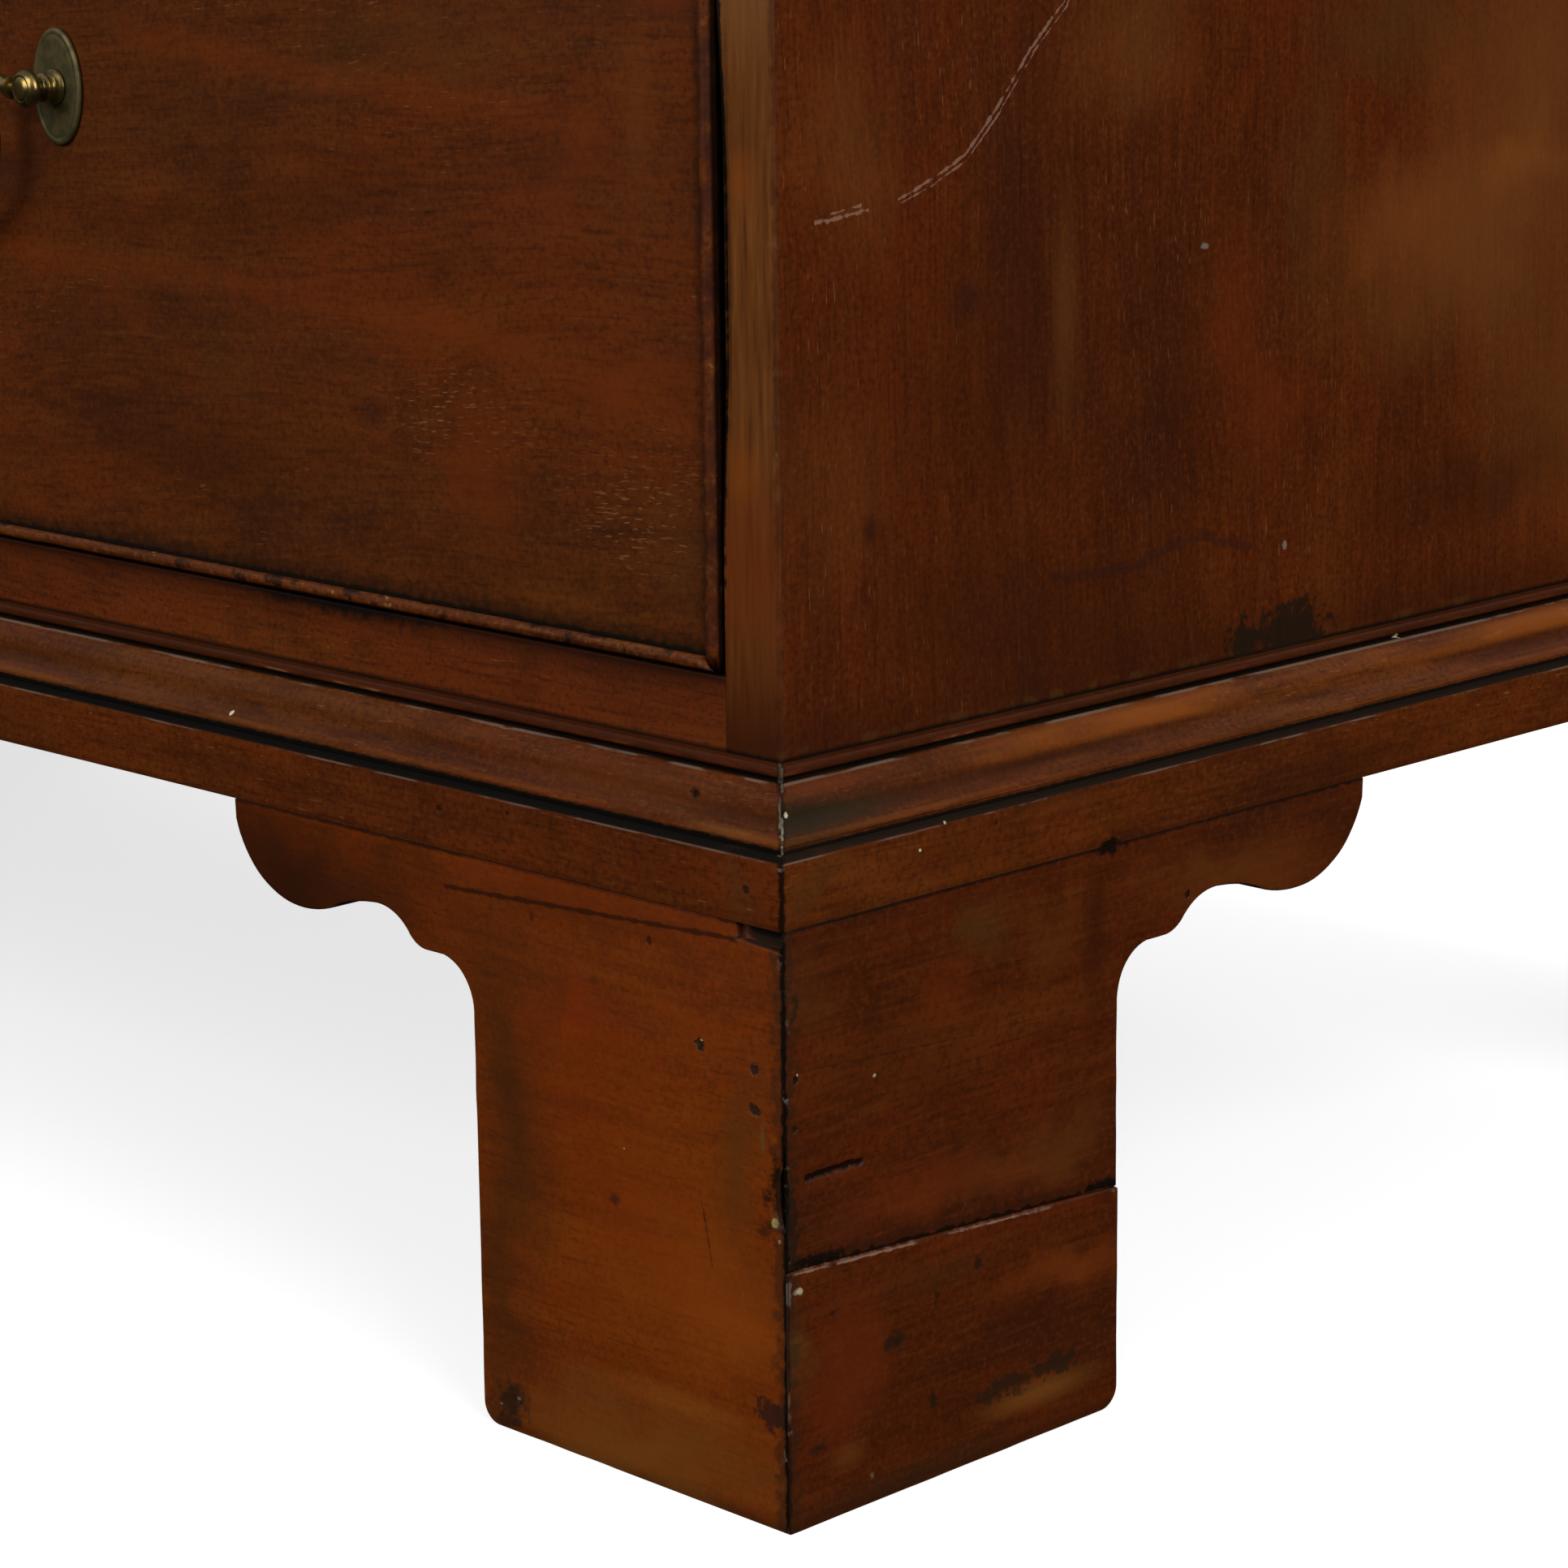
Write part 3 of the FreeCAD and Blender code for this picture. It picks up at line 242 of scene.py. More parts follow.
    def clouds(self, through, *rows, hand=1):
        """Soft clouds of the figure, from rows of middle, half sizes, colour and strength. The
        large ones drift out of shape."""
        if self.drifted is None:
            drift = self.add("TexNoise", self.place, None, 26.0, 4.0, 0.6).outputs[1]
            drift = self.vector("SUBTRACT", drift, (0.5, 0.5, 0.5))
            drift = self.vector("MULTIPLY", drift, (0.045, 0.045, 0.045))
            self.drifted = self.vector("ADD", self.place, drift)
        for u, v, half_u, half_v, colour, strength in rows:
            place = self.drifted if min(half_u, half_v) > 7 else None
            self.coat(colour, self.patch(through, hand * u, v, half_u, half_v, place=place), strength)

    def marks(self, through, *rows):
        """Ragged marks, from rows of place, half sizes, colour, strength, softness and perhaps a
        relief."""
        for u, v, half_u, half_v, colour, strength, soft, *relief in rows:
            mask = self.patch(through, u, v, half_u, half_v, soft, 0.4)
            self.coat(colour, mask, strength, relief=sum(relief))

    def done(self, specular=0.16, metallic=0.0, glow=0.0):
        """Feed the shader, with the finish's height as bump, and return the material."""
        shader = self.add("BsdfPrincipled")
        self.feed(shader.inputs["Emission Color"], (255, 255, 255))
        self.feed(shader.inputs["Emission Strength"], glow)
        self.feed(shader.inputs["Specular IOR Level"], specular)
        self.feed(shader.inputs["Metallic"], metallic)
        self.feed(shader.inputs["Base Color"], self.colour)
        self.feed(shader.inputs["Roughness"], self.roughness)
        if isinstance(self.relief, bpy.types.NodeSocket):
            bump = self.add("Bump")
            self.feed(bump.inputs["Distance"], 1.0)
            self.feed(bump.inputs["Height"], self.relief)
            self.feed(shader.inputs["Normal"], bump.outputs[0])
        self.feed(self.add("OutputMaterial").inputs[0], shader.outputs[0])
        return self.material


BODY = (90, 41, 12)
RED = (110, 47, 12)
DEEP = (50, 22, 8)
GOLD = (112, 60, 21)
PALE = (150, 104, 62)
# Near black: dirt, holes and dark joints, and also painted shade in gaps and under overhangs.
GRIME_AND_SHADE = (12, 10, 6)
# Pale grey: dust and chips, and also thin painted highlights below the quirks.
DUST_AND_SHEEN = (126, 116, 104)
BONE = (222, 208, 172)
OLIVE = (80, 52, 22)


def mahogany(name, along, seed, body=BODY, red=RED, deep=DEEP, gold=GOLD, dashes=0.5, sway=8, tilt=0.0,
             bold=1.0):
    """Polished mahogany: broad soft clouds, streaks along the grain, fibres, pores and specks.
    bold sets how strongly the clouds and streaks stand out, and dashes the pale open pores."""
    wood = Finish("mahogany_" + name, body, seed, along)
    wood.flow(sway, tilt)
    cloud = wood.ripples(5.0, 15.0, 3.0)
    shade = wood.ripples(8.0, 30.0, 4.0, 4.0)
    streak = wood.ripples(7.0, 190.0, 5.0, 8.0)
    mottle = wood.blotches(36.0, 5.0, 28.0)
    for colour, figure, low, high, strength in (
            (red, cloud, 0.45, 0.66, 0.6), (deep, shade, 0.48, 0.7, 0.55), (gold, shade, 0.46, 0.27, 0.55),
            (deep, streak, 0.5, 0.74, 0.45), (gold, streak, 0.48, 0.28, 0.3),
            (deep, mottle, 0.5, 0.7, 0.45), (red, mottle, 0.48, 0.3, 0.4)):
        wood.tint(colour, figure, low, high, strength * bold)
    fibre = wood.ripples(55.0, 1000.0, 2.0, 12.0)
    wood.tint(deep, fibre, 0.5, 0.75, 0.5, relief=-0.015)
    wood.tint(gold, fibre, 0.48, 0.25, 0.3)
    cluster = wood.ramp(wood.ripples(9.0, 26.0, seed=16.0), 0.46, 0.64)
    pore = wood.ripples(230.0, 2000.0, 1.0, 20.0)
    wood.coat(PALE, wood.both(wood.ramp(pore, 0.66, 0.78), cluster), dashes, relief=-0.03)
    wood.tint(GRIME_AND_SHADE, pore, 0.36, 0.22, 0.4, relief=-0.04)
    speck = wood.blotches(800.0, 4.0, 24.0)
    wood.tint(deep, speck, 0.5, 0.68, 0.5)
    wood.tint(gold, speck, 0.48, 0.28, 0.4)
    wood.roughness = wood.ramp(shade, 0.3, 0.7, 0.32, 0.42)
    wood.relief = wood.math("MULTIPLY_ADD", cloud, 0.4 * MM, wood.relief)
    return wood


def rubbed_arris(wood, pale=0.5, dark=0.65):
    """Arrises: dark with wax and handling, and worn through to paler wood in places."""
    arris = wood.add("Attribute", attribute_name="arris").outputs["Fac"]
    bare = wood.ramp(wood.blotches(75.0, 3.0, 40.0), 0.6, 0.68)
    wood.coat(DEEP, arris, dark)
    wood.coat(PALE, wood.both(arris, bare), pale)


def round_over(mesh, edges, width, segments):
    """Round the edges of a mesh, and return the new faces."""
    return bmesh.ops.bevel(mesh, geom=edges, offset=width * MM, offset_type="OFFSET", affect="EDGES",
                           segments=segments, profile=0.5, material=-1, clamp_overlap=True)["faces"]


def divide(mesh, point, normal, **settings):
    """Divide a whole mesh along a plane, whose point is in metres as the mesh is."""
    bmesh.ops.bisect_plane(mesh, geom=mesh.verts[:] + mesh.edges[:] + mesh.faces[:],
                           plane_co=point, plane_no=normal, **settings)


def merged(node):
    """Copy of a CAD piece, whose triangles are joined up."""
    mesh = bmesh.new()
    mesh.from_mesh(nodes[node].data)
    bmesh.ops.remove_doubles(mesh, verts=mesh.verts, dist=1e-6)
    return mesh


def worn(node, arris=0.7, cell=12, sway=0.12, rub=0.25, dents=(), cuts=(), seams=()):
    """Copy of a CAD piece with its outward arrises rounded, its faces no longer quite flat and
    dents pressed in. Each dent is a centre, three radii and a depth. Each cut is an axis and a
    level where the mesh is divided once more. Each seam is an axis and a level where the piece
    butts on another, and the arrises there are left nearly sharp."""
    mesh = merged(node)
    bmesh.ops.dissolve_limit(mesh, angle_limit=radians(0.5), verts=mesh.verts, edges=mesh.edges)
    mesh.normal_update()

    def on_mitre(verts):
        return node.startswith(("base_", "foot_")) and all(
            abs(abs(vert.co.x) + vert.co.y - (side_x + front_y) * MM) < 1e-5 for vert in verts)

    def butts(verts):
        at_seams = (all(abs(vert.co["XYZ".index(axis)] - level * MM) < 1e-5 for vert in verts)
                    for axis, level in seams)
        return on_mitre(verts) or any(at_seams)

    def sharp_edges(butting):
        return [edge for edge in mesh.edges if edge.is_manifold and edge.is_convex
                and edge.calc_face_angle() > radians(35) and butts(edge.verts) == butting]

    layer = mesh.verts.layers.float.new("arris")
    open_edges = sharp_edges(False)
    if open_edges:
        rounds = set(round_over(mesh, open_edges, arris, 3))
        for vert in mesh.verts:
            if vert.link_faces and all(face in rounds for face in vert.link_faces):
                vert[layer] = 1.0
    tight_edges = sharp_edges(True)
    if tight_edges:
        round_over(mesh, tight_edges, 0.18, 2)
    low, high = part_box(node)
    planes = [("XYZ".index(axis), level * MM) for axis, level in cuts]
    for axis in range(3):
        count = int((high[axis] - low[axis]) / (cell * MM))
        planes += [(axis, low[axis] + step * (high[axis] - low[axis]) / count) for step in range(1, count)]
    for axis, level in planes:
        normal = Vector((axis == 0, axis == 1, axis == 2))
        divide(mesh, normal * level, normal)
    mesh.normal_update()
    moves = []
    for vert in mesh.verts:
        depth = 0.0 if on_mitre([vert]) else sway * (noise.noise(vert.co * 11.0) + 1.0) / 2
        if vert[layer] > 0.5:
            depth += rub * max(0.0, noise.noise(vert.co * 90.0) + 0.15)
        for centre, radii, press in dents:
            offset = vert.co / MM - Vector(centre)
            reach = Vector((offset[axis] / radii[axis] for axis in range(3))).length
            if reach < 1.0:
                depth += press * min(1.0, 1.8 * (1.0 - reach))
        moves.append(vert.co - vert.normal * depth * MM)
    for vert, there in zip(mesh.verts, moves):
        vert.co = there
    return mesh


def solid(mesh, name, *finishes):
    """Finished mesh with its materials."""
    data = bpy.data.meshes.new(name)
    mesh.to_mesh(data)
    mesh.free()
    for finish in finishes:
        data.materials.append(finish)
    return data


def show(name, data):
    """New object in the scene."""
    thing = bpy.data.objects.new(name, data)
    bpy.context.scene.collection.objects.link(thing)
    return thing


def lay(mesh, node, *finishes, slot="mahogany", how="worn", flat=True):
    """Make a piece of a mesh and let it stand for its CAD node, on the same body."""
    for face in mesh.faces:
        face.smooth = True
    name = how + "_" + node
    piece = show(name, solid(mesh, name, *finishes))
    if flat:
        piece.modifiers.new("flat_faces", "WEIGHTED_NORMAL").keep_sharp = True
    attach(piece, nodes[node]["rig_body"])
    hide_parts(node)


def dress(node, wood, specular=0.16, **wear):
    """Worn copy of a mahogany CAD piece, in its finish."""
    lay(worn(node, **wear), node, wood.done(specular))


def keep(node, finish):
    """CAD piece that is shown as it is, with its finish."""
    for slot in nodes[node].material_slots:
        slot.material = finish


DRAWERS = ("drawer_bottom", "drawer_middle", "drawer_top")
side_low, side_high = corners("side_right")
front_y = side_low.y
side_x = side_high.x
inner_x = side_low.x
base_top = corners("base_moulding_front")[1].z
SIDE_GOLD = (122, 72, 30)
SIDE_RED = (112, 46, 12)
PURPLE = (48, 24, 18)
CHIPS = (299, 287, 268, 241, 232, 224, 197, 330, 401, 455, 602, 688)

for hand, node in ((1, "side_right"), (-1, "side_left")):
    side = mahogany(node, "Z", 3.0 + hand, body=(82, 33, 8), red=(98, 38, 8), deep=(48, 19, 6),
                    gold=(108, 54, 18), dashes=0.4, tilt=-1.5, bold=0.7)
    if hand == 1:
        # Clouds of the figure: golden and olive towards the back, duller in the middle, one pale
        # upright stripe, a knot, long streaks above, and the faint line of an old tide mark.
        side.clouds(
                "X", (35, 285, 60, 60, SIDE_GOLD, 0.5), (15, 245, 75, 42, SIDE_GOLD, 0.5),
                (60, 200, 60, 46, SIDE_GOLD, 0.4), (-15, 256, 40, 18, (130, 70, 26), 0.4),
                (30, 268, 30, 14, (136, 78, 30), 0.35), (-20, 302, 44, 20, OLIVE, 0.5),
                (-47, 270, 14, 34, OLIVE, 0.35), (-110, 300, 32, 26, SIDE_GOLD, 0.3),
                (-75, 240, 24, 32, SIDE_RED, 0.35), (-60, 215, 26, 18, SIDE_RED, 0.35),
                (-200, 285, 22, 36, SIDE_GOLD, 0.3), (-205, 215, 24, 30, SIDE_GOLD, 0.2),
                (-150, 250, 30, 60, DEEP, 0.3), (-100, 225, 24, 50, DEEP, 0.4),
                (15, 190, 60, 18, DEEP, 0.5), (-133, 245, 6, 38, SIDE_GOLD, 0.35),
                (-164, 250, 9, 7, PURPLE, 0.6), (-194, 205, 3.6, 5.5, DEEP, 0.8),
                (-130, 175, 80, 24, DEEP, 0.5), (-170, 185, 40, 20, DEEP, 0.3),
                (-160, 232, 80, 60, DEEP, 0.25), (62, 400, 44, 110, SIDE_GOLD, 0.4),
                (74, 540, 38, 150, SIDE_GOLD, 0.35), (100, 215, 60, 60, SIDE_GOLD, 0.35),
                (30, 430, 22, 130, SIDE_RED, 0.4), (118, 420, 30, 200, OLIVE, 0.4),
                (-112, 370, 24, 80, SIDE_GOLD, 0.25), (-60, 500, 26, 180, OLIVE, 0.3),
                (170, 350, 30, 240, SIDE_GOLD, 0.25))
        tide = ((-136, 187), (-112, 186), (-88, 190), (-70, 186))
        tide = [side.stroke("X", start, end, 1.8) for start, end in zip(tide, tide[1:])]
        side.coat(PURPLE, side.any_of(tide), 0.5)
    # The front edge: paler and streaked, red-gold where it is worn through, dull near the base.
    stile = side.spot(((inner_x + side_x) / 2 * hand, front_y, 0.0), (8.6, 3.2, FAR), 0.12)
    side.coat((112, 64, 26), stile, 0.85)
    streak = side.ripples(44.0, 620.0, 6.0, 70.0, side.place)
    worn_through = [side.spot((hand * (side_x - 10), front_y, z), (7, FAR, half), 1.0)
                    for z, half in ((219, 10), (279, 9), (166, 6), (340, 22), (470, 26), (610, 18))]
    side.coat((60, 30, 12), side.both(stile, side.ramp(streak, 0.46, 0.7)), 0.6)
    side.coat((140, 88, 40), side.both(stile, side.ramp(streak, 0.48, 0.28)), 0.4)
    side.line((142, 94, 52), 325, 30, 0.55, 1.0, within=stile)
    side.line((108, 46, 14), 200, 36, 0.6, 1.0, within=stile)
    side.coat((138, 70, 20), side.both(stile, side.any_of(worn_through)), 0.5)
    side.line((74, 31, 11), base_top, 36, 0.9, 1.0, within=stile)
    # Dark arris with a few pale chips; near black painted shade along the gap beside each drawer, over a
    # rubbed patch; black in the angle of the base.
    side.coat(DEEP, side.spot((side_x * hand, front_y, 0.0), (1.5, 1.5, FAR), 0.9, 0.25), 0.6)
    chipped = [side.spot((side_x * hand, front_y - 0.3, z), (0.9, 0.8, 0.6 + z % 3 * 0.7), 0.6, 0.6)
               for z in CHIPS]
    side.coat(PALE, side.any_of(chipped), 0.5)
    side.line(DEEP, base_top, 16, 0.5, 1.0)
    side.line(GRIME_AND_SHADE, base_top, 1.3, 0.9, 0.8)
    haze = side.ramp(side.blotches(150.0, 4.0, 76.0), 0.5, 0.62)
    side.line(OLIVE, base_top + 1.5, 1.4, 0.4, within=haze)
    for drawer in DRAWERS:
        low, high = corners(drawer + "_front")
        middle = (low.z + high.z) / 2
        tall = high.z - low.z
        # Painted shade, near black, along the gap beside the drawer, over a dark grey rubbed patch.
        gap_shade_and_wear = side.spot((inner_x * hand, front_y, middle), (1.6, FAR, tall / 2), 0.3, 0.15)
        side.coat((16, 15, 13), gap_shade_and_wear, 0.9)
        gap_shade_and_wear = side.spot((inner_x * hand, front_y, middle - 10), (4.0, 5, tall * 0.3), 0.8, 0.2)
        side.coat((30, 27, 23), gap_shade_and_wear, 0.7)
    if hand == 1:
        # Ragged black stain above the base, two pale chips and a long double scratch.
        stain = [side.patch("X", -54, 164, 15, 8.5, 0.4, 0.35), side.patch("X", -71, 163, 7, 7, 0.4, 0.35)]
        side.coat((26, 20, 10), side.any_of(stain), 0.85, roughness=0.5)
        side.marks("X", (-86.3, 255.1, 1.3, 0.8, DUST_AND_SHEEN, 0.7, 0.5, -0.1),
                   (-56.7, 183.9, 0.8, 1.0, DUST_AND_SHEEN, 0.75, 0.5, -0.1))
        scratch = ((-118, 330), (-133.5, 311), (-144.3, 301.4), (-154.4, 290.2), (-164.5, 280.7),
                   (-174.4, 276.4), (-184.9, 272.9))
        strokes = []
        for start, end in zip(scratch, scratch[1:]):
            beside = (start[0] + 1.0, start[1] - 1.0), (end[0] + 0.8, end[1] - 0.8)
            strokes += [side.stroke("X", start, end, 0.35, 1.0), side.stroke("X", *beside, 0.2, 1.0)]
        strokes += [side.stroke("X", (-193.8, 271.5), (-209.2, 269.9), 0.4, 1.0),
                    side.stroke("X", (-196.0, 272.6), (-205.0, 271.4), 0.3, 1.0)]
        side.coat((152, 112, 92), side.any_of(strokes), 0.6, roughness=0.6, relief=-0.12)
    rubbed_arris(side, pale=0.25, dark=0.3)
    dents = [((inner_x * hand, front_y, z), (wide, deep, tall), press) for z, wide, deep, tall, press in
             ((262, 3.6, 6, 56, 1.2), (450, 3.0, 5, 70, 0.8), (640, 3.0, 5, 50, 0.8))]
    dents += [((side_x * hand, front_y, z), (1.6, 1.6, 1.4 + z % 3), 0.4) for z in CHIPS]
    cuts = [("X", hand * (inner_x + step)) for step in (1.2, 2.4, 3.6, 5.0, 8.0, 12.0)]
    cuts += [("Y", front_y + step) for step in (2.0, 4.5)]
    cuts += [("Z", z + step) for z in CHIPS for step in (-1.6, 0.0, 1.6)]
    dress(node, side, specular=0.12, arris=0.8, dents=dents, cuts=cuts, seams=(("X", hand * inner_x),))

# ---- Rails ----
# Mahogany rails between the drawers, stub-tenoned into the sides, and a deeper one under the
# bottom drawer. Drawer bottoms and dusters have rubbed their upper arrises.
for index, node in enumerate(("bottom_rail", "rail_lower", "rail_upper", "rail_slide")):
    low, high = corners(node)
    rail = mahogany(node, "X", 11.0 + index, body=(104, 45, 14), red=(116, 43, 12), bold=0.8)
    # Painted shadow, near black, under the drawer above, along the rail's top.
    rail.line(GRIME_AND_SHADE, high.z, 2.2, 0.7, 0.8)
    rail.line(DEEP, high.z, 7, 0.6, 1.0)
    for hand in (-1, 1):
        rail.coat((134, 52, 16), rail.patch("Y", hand * 414, low.z + 8, 12, 10), 0.7)
    if node == "bottom_rail":
        rail.coat((13, 13, 12), rail.patch("Y", 300, high.z, 50, 4.4, 0.8, 0.2), 0.85)
        rail.coat(DEEP, rail.patch("Y", 400, high.z, 36, 5), 0.6)
        rail.line(GRIME_AND_SHADE, base_top, 1.4, 0.85, 0.9)
    rubbed_arris(rail)
    dress(node, rail, arris=0.6, seams=(("X", -inner_x), ("X", inner_x)))

# ---- Bottom, dust boards, runners, stops and back ----
# Secondary deal, planed by hand and never polished: it has dried brown, with grey dust on it.
# The back boards are nailed into the rebates; the rest lies out of sight behind the drawers.


def deal(name, along, seed):
    """Old deal: wide growth rings, darkened by air and dust."""
    wood = Finish(name, (132, 98, 62), seed, along)
    wood.flow(10)
    wood.tint((98, 68, 38), wood.ripples(1.5, 46.0, 3.0), 0.46, 0.62, 0.6)
    wood.tint((74, 50, 30), wood.ripples(20.0, 700.0, 3.0, 5.0), 0.5, 0.8, 0.6, relief=-0.05)
    wood.tint((98, 82, 64), wood.blotches(9.0, 4.0, 9.0), 0.42, 0.7, 0.3)
    wood.roughness = 0.75
    return wood


inside_deal = deal("deal_inside", "X", 2.0).done(0.15)
for node in ("bottom_board", "dust_boards", "drawer_stops"):
    keep(node, inside_deal)
keep("runners", deal("deal_runners", "Y", 6.0).done(0.15))
back = deal("deal_back", "X", 4.0)
nail_x = inner_x + 3
heads = [back.patch("Y", hand * nail_x, z, 2.6, 2.6, 0.3, 0.2)
         for hand in (-1, 1) for z in (185, 265, 345, 430, 510, 590, 670, 755)]
back.coat((40, 34, 30), back.any_of(heads), 0.9, roughness=0.5, relief=0.3)
rust = [back.patch("Y", hand * nail_x, z - 8, 3.5, 14, 1.0, 0.4)
        for hand in (-1, 1) for z in (185, 345, 510, 670)]
back.coat((66, 44, 28), back.any_of(rust), 0.6)
lay(worn("back_boards", arris=0.6, cell=20), "back_boards", back.done(0.15), slot="deal")

# ---- Base moulding and band ----
# A bead over an ogee, worked in one strip and glued over a flat band, mitred at the corners.
# Wax and soot have filled the quirks black, with a thin grey painted highlight on the swell below them.
band_low, band_high = corners("base_band_front")
BAND_TOP = band_high.z
BAND_BOTTOM = band_low.z
corner_x = band_high.x
corner_y = band_low.y
QUIRK = BAND_TOP + 12.4


def mitre_lines(wood, reach, ragged=0.3):
    """Mask along the upright lines where the front and side runs meet."""
    lines = []
    for hand in (-1, 1):
        offset = wood.vector("SUBTRACT", wood.place, metres((hand * side_x, front_y, 0.0)))
        x, y, _ = wood.add("SeparateXYZ", offset).outputs
        gap = wood.math("ADD", wood.math("MULTIPLY", x, float(hand)), y)
        away = wood.math("MULTIPLY", wood.math("ABSOLUTE", gap), 0.707)
        away = wood.ragged_by(away, ragged * reach * MM)
        lines.append(wood.ramp(away, reach * MM, reach * 0.3 * MM))
    return wood.any_of(lines)


RUNS = (("front", "X"), ("right", "Y"), ("left", "Y"))
for index, (word, along) in enumerate(RUNS):
    node = "base_moulding_" + word
    strip = mahogany(node, along, 20.0 + index, body=(84, 42, 14), red=(92, 36, 12), sway=1.5, bold=0.7)
    swell = strip.ripples(14.0, 60.0, 2.0, 30.0)
    broken = strip.ripples(55.0, 300.0, 4.0, 34.0)
    if word != "front":
        # Along the sides the ogee's upper swell carries a broken painted highlight, but not at the front
        # corner.
        lit_swell = strip.both(strip.layer("Z", QUIRK - 3.2, 3.4), strip.ramp(swell, 0.36, 0.56),
                               strip.patch("X", 60, QUIRK, 250, 30, 0.25))
        strip.coat((134, 70, 20), lit_swell, 0.7)
        strip.coat((150, 92, 36), strip.both(lit_swell, strip.ramp(broken, 0.55, 0.7)), 0.4)
    strip.line(DEEP, BAND_TOP + 5.0, 2.6, 0.5, within=strip.ramp(swell, 0.4, 0.55))
    # Painted highlight along the ogee's lower lip.
    strip.line((128, 72, 30), BAND_TOP + 2.1, 0.6, 0.3, within=strip.ramp(swell, 0.45, 0.6))
    strip.line((56, 24, 10), base_top - 1.2, 2.0, 0.75, 0.6)
    # Broken reddish painted highlight along the top bead.
    strip.line((104, 44, 20), base_top - 1.4, 0.6, 0.5, within=strip.ramp(broken, 0.46, 0.6))
    strip.line(PALE, base_top - 1.6, 0.35, 0.6, within=strip.ramp(broken, 0.6, 0.7))
    strip.line(GRIME_AND_SHADE, QUIRK + 0.1, 0.8, 0.95, 0.6)
    # Thin grey painted highlight along the swell just below the quirk.
    strip.line(DUST_AND_SHEEN, QUIRK - 0.6, 0.3, 0.45, 0.8, within=strip.ramp(broken, 0.42, 0.54))
    # Painted shade, near black, on the underside of the lip over the band.
    strip.line(GRIME_AND_SHADE, BAND_TOP, 1.4 if word == "front" else 1.0, 1.0, 0.4, 0.1, roughness=0.9)
    if word == "right":
        strip.clouds("X", (-229, BAND_TOP + 5.6, 22, 7.0, (34, 31, 19), 0.85),
                     (-214, BAND_TOP + 5.0, 30, 5.0, (40, 35, 21), 0.75),
                     (-216, BAND_TOP + 10.4, 26, 2.2, (104, 48, 18), 0.4),
                     (-150, BAND_TOP + 5.5, 40, 1.6, DEEP, 0.7), (-60, BAND_TOP + 5, 26, 1.6, DEEP, 0.6))
        strip.marks("X", (-228.1, BAND_TOP + 6.5, 0.65, 0.75, BONE, 0.85, 0.4, 0.2),
                    (-18.3, QUIRK, 1.0, 0.8, BONE, 0.7, 0.5))
    if word == "front":
        # A warm cloud, and a faint painted highlight on the lip near the corner.
        strip.clouds("Y", (400, BAND_TOP + 7, 50, 6, (96, 46, 14), 0.5),
                     (436, BAND_TOP + 2.2, 20, 1.2, (140, 92, 40), 0.22))
        strip.marks("Y", (422.9, BAND_TOP + 7.3, 1.5, 1.3, GRIME_AND_SHADE, 0.9, 0.6, -0.4),
                    (270.7, BAND_TOP + 3.1, 0.6, 0.5, BONE, 0.9, 0.4))
    white = strip.both(mitre_lines(strip, 0.55, 0.4), strip.ramp(broken, 0.44, 0.54))
    strip.coat(GRIME_AND_SHADE, mitre_lines(strip, 1.1), 0.6)
    strip.coat((150, 140, 120), strip.both(white, strip.rise(BAND_TOP + 11, BAND_TOP + 1, 0.3, 1.0)), 0.7)
    rubbed_arris(strip, pale=0.3)
    dress(node, strip, specular=0.06, arris=0.3, cell=8, sway=0.2, seams=(("Z", BAND_TOP), ("Z", base_top)))

for index, (word, along) in enumerate(RUNS):
    node = "base_band_" + word
    band = mahogany(node, along, 24.0 + index, body=(98, 44, 13) if word == "front" else (92, 40, 10),
                    red=(106, 42, 11), sway=2, bold=0.8)
    broken = band.ripples(55.0, 300.0, 4.0, 34.0)
    band.line(GRIME_AND_SHADE if word == "front" else (30, 19, 11), BAND_TOP, 1.0, 1.0, 0.6, roughness=0.9)
    band.line(DUST_AND_SHEEN, BAND_TOP - 0.9, 0.3, 0.5, 0.8, within=band.ramp(broken, 0.46, 0.58))
    band.line(DEEP, BAND_BOTTOM, 2.0, 0.4)
    if word == "front":
        band.clouds("Y", (449, 137, 9, 9, OLIVE, 0.4), (270, 138, 60, 5, DEEP, 0.35),
                    (420, 137, 24, 7, DEEP, 0.3))
        band.marks("Y", (350.5, 139.2, 1.2, 1.0, GRIME_AND_SHADE, 0.7, 0.7, -0.3),
                   (373.2, 141.5, 1.0, 0.9, GRIME_AND_SHADE, 0.7, 0.7, -0.3),
                   (446.0, 137.1, 1.2, 1.1, (34, 26, 22), 0.85, 0.6, -0.4))
    if word == "right":
        band.clouds("X", (-226, 138, 16, 9, OLIVE, 0.45), (-60, 134, 60, 7, DEEP, 0.6),
                    (-150, 142, 30, 3, (116, 56, 18), 0.4), (-190, 137, 26, 6, DEEP, 0.3))
        band.marks("X", (-189.0, 144.4, 0.5, 0.4, BONE, 0.6, 0.5),
                   (-196.7, 139.9, 0.4, 0.4, BONE, 0.8, 0.4),
                   (-137.3, 130.0, 5, 1.8, GRIME_AND_SHADE, 0.9, 0.5), (-173, 141.8, 0.8, 0.8, GRIME_AND_SHADE, 0.6, 0.7))
    band.coat(GRIME_AND_SHADE, mitre_lines(band, 1.0, 0.25), 0.9)
    caught = band.both(mitre_lines(band, 0.9), band.ramp(broken, 0.56, 0.66), band.rise(136, 144))
    band.coat(DUST_AND_SHEEN, caught, 0.7)
    rubbed_arris(band, pale=0.3)
    dress(node, band, specular=0.08, arris=0.4, cell=8, sway=0.15, seams=(("Z", BAND_BOTTOM),))
keep("base_band_back", inside_deal)

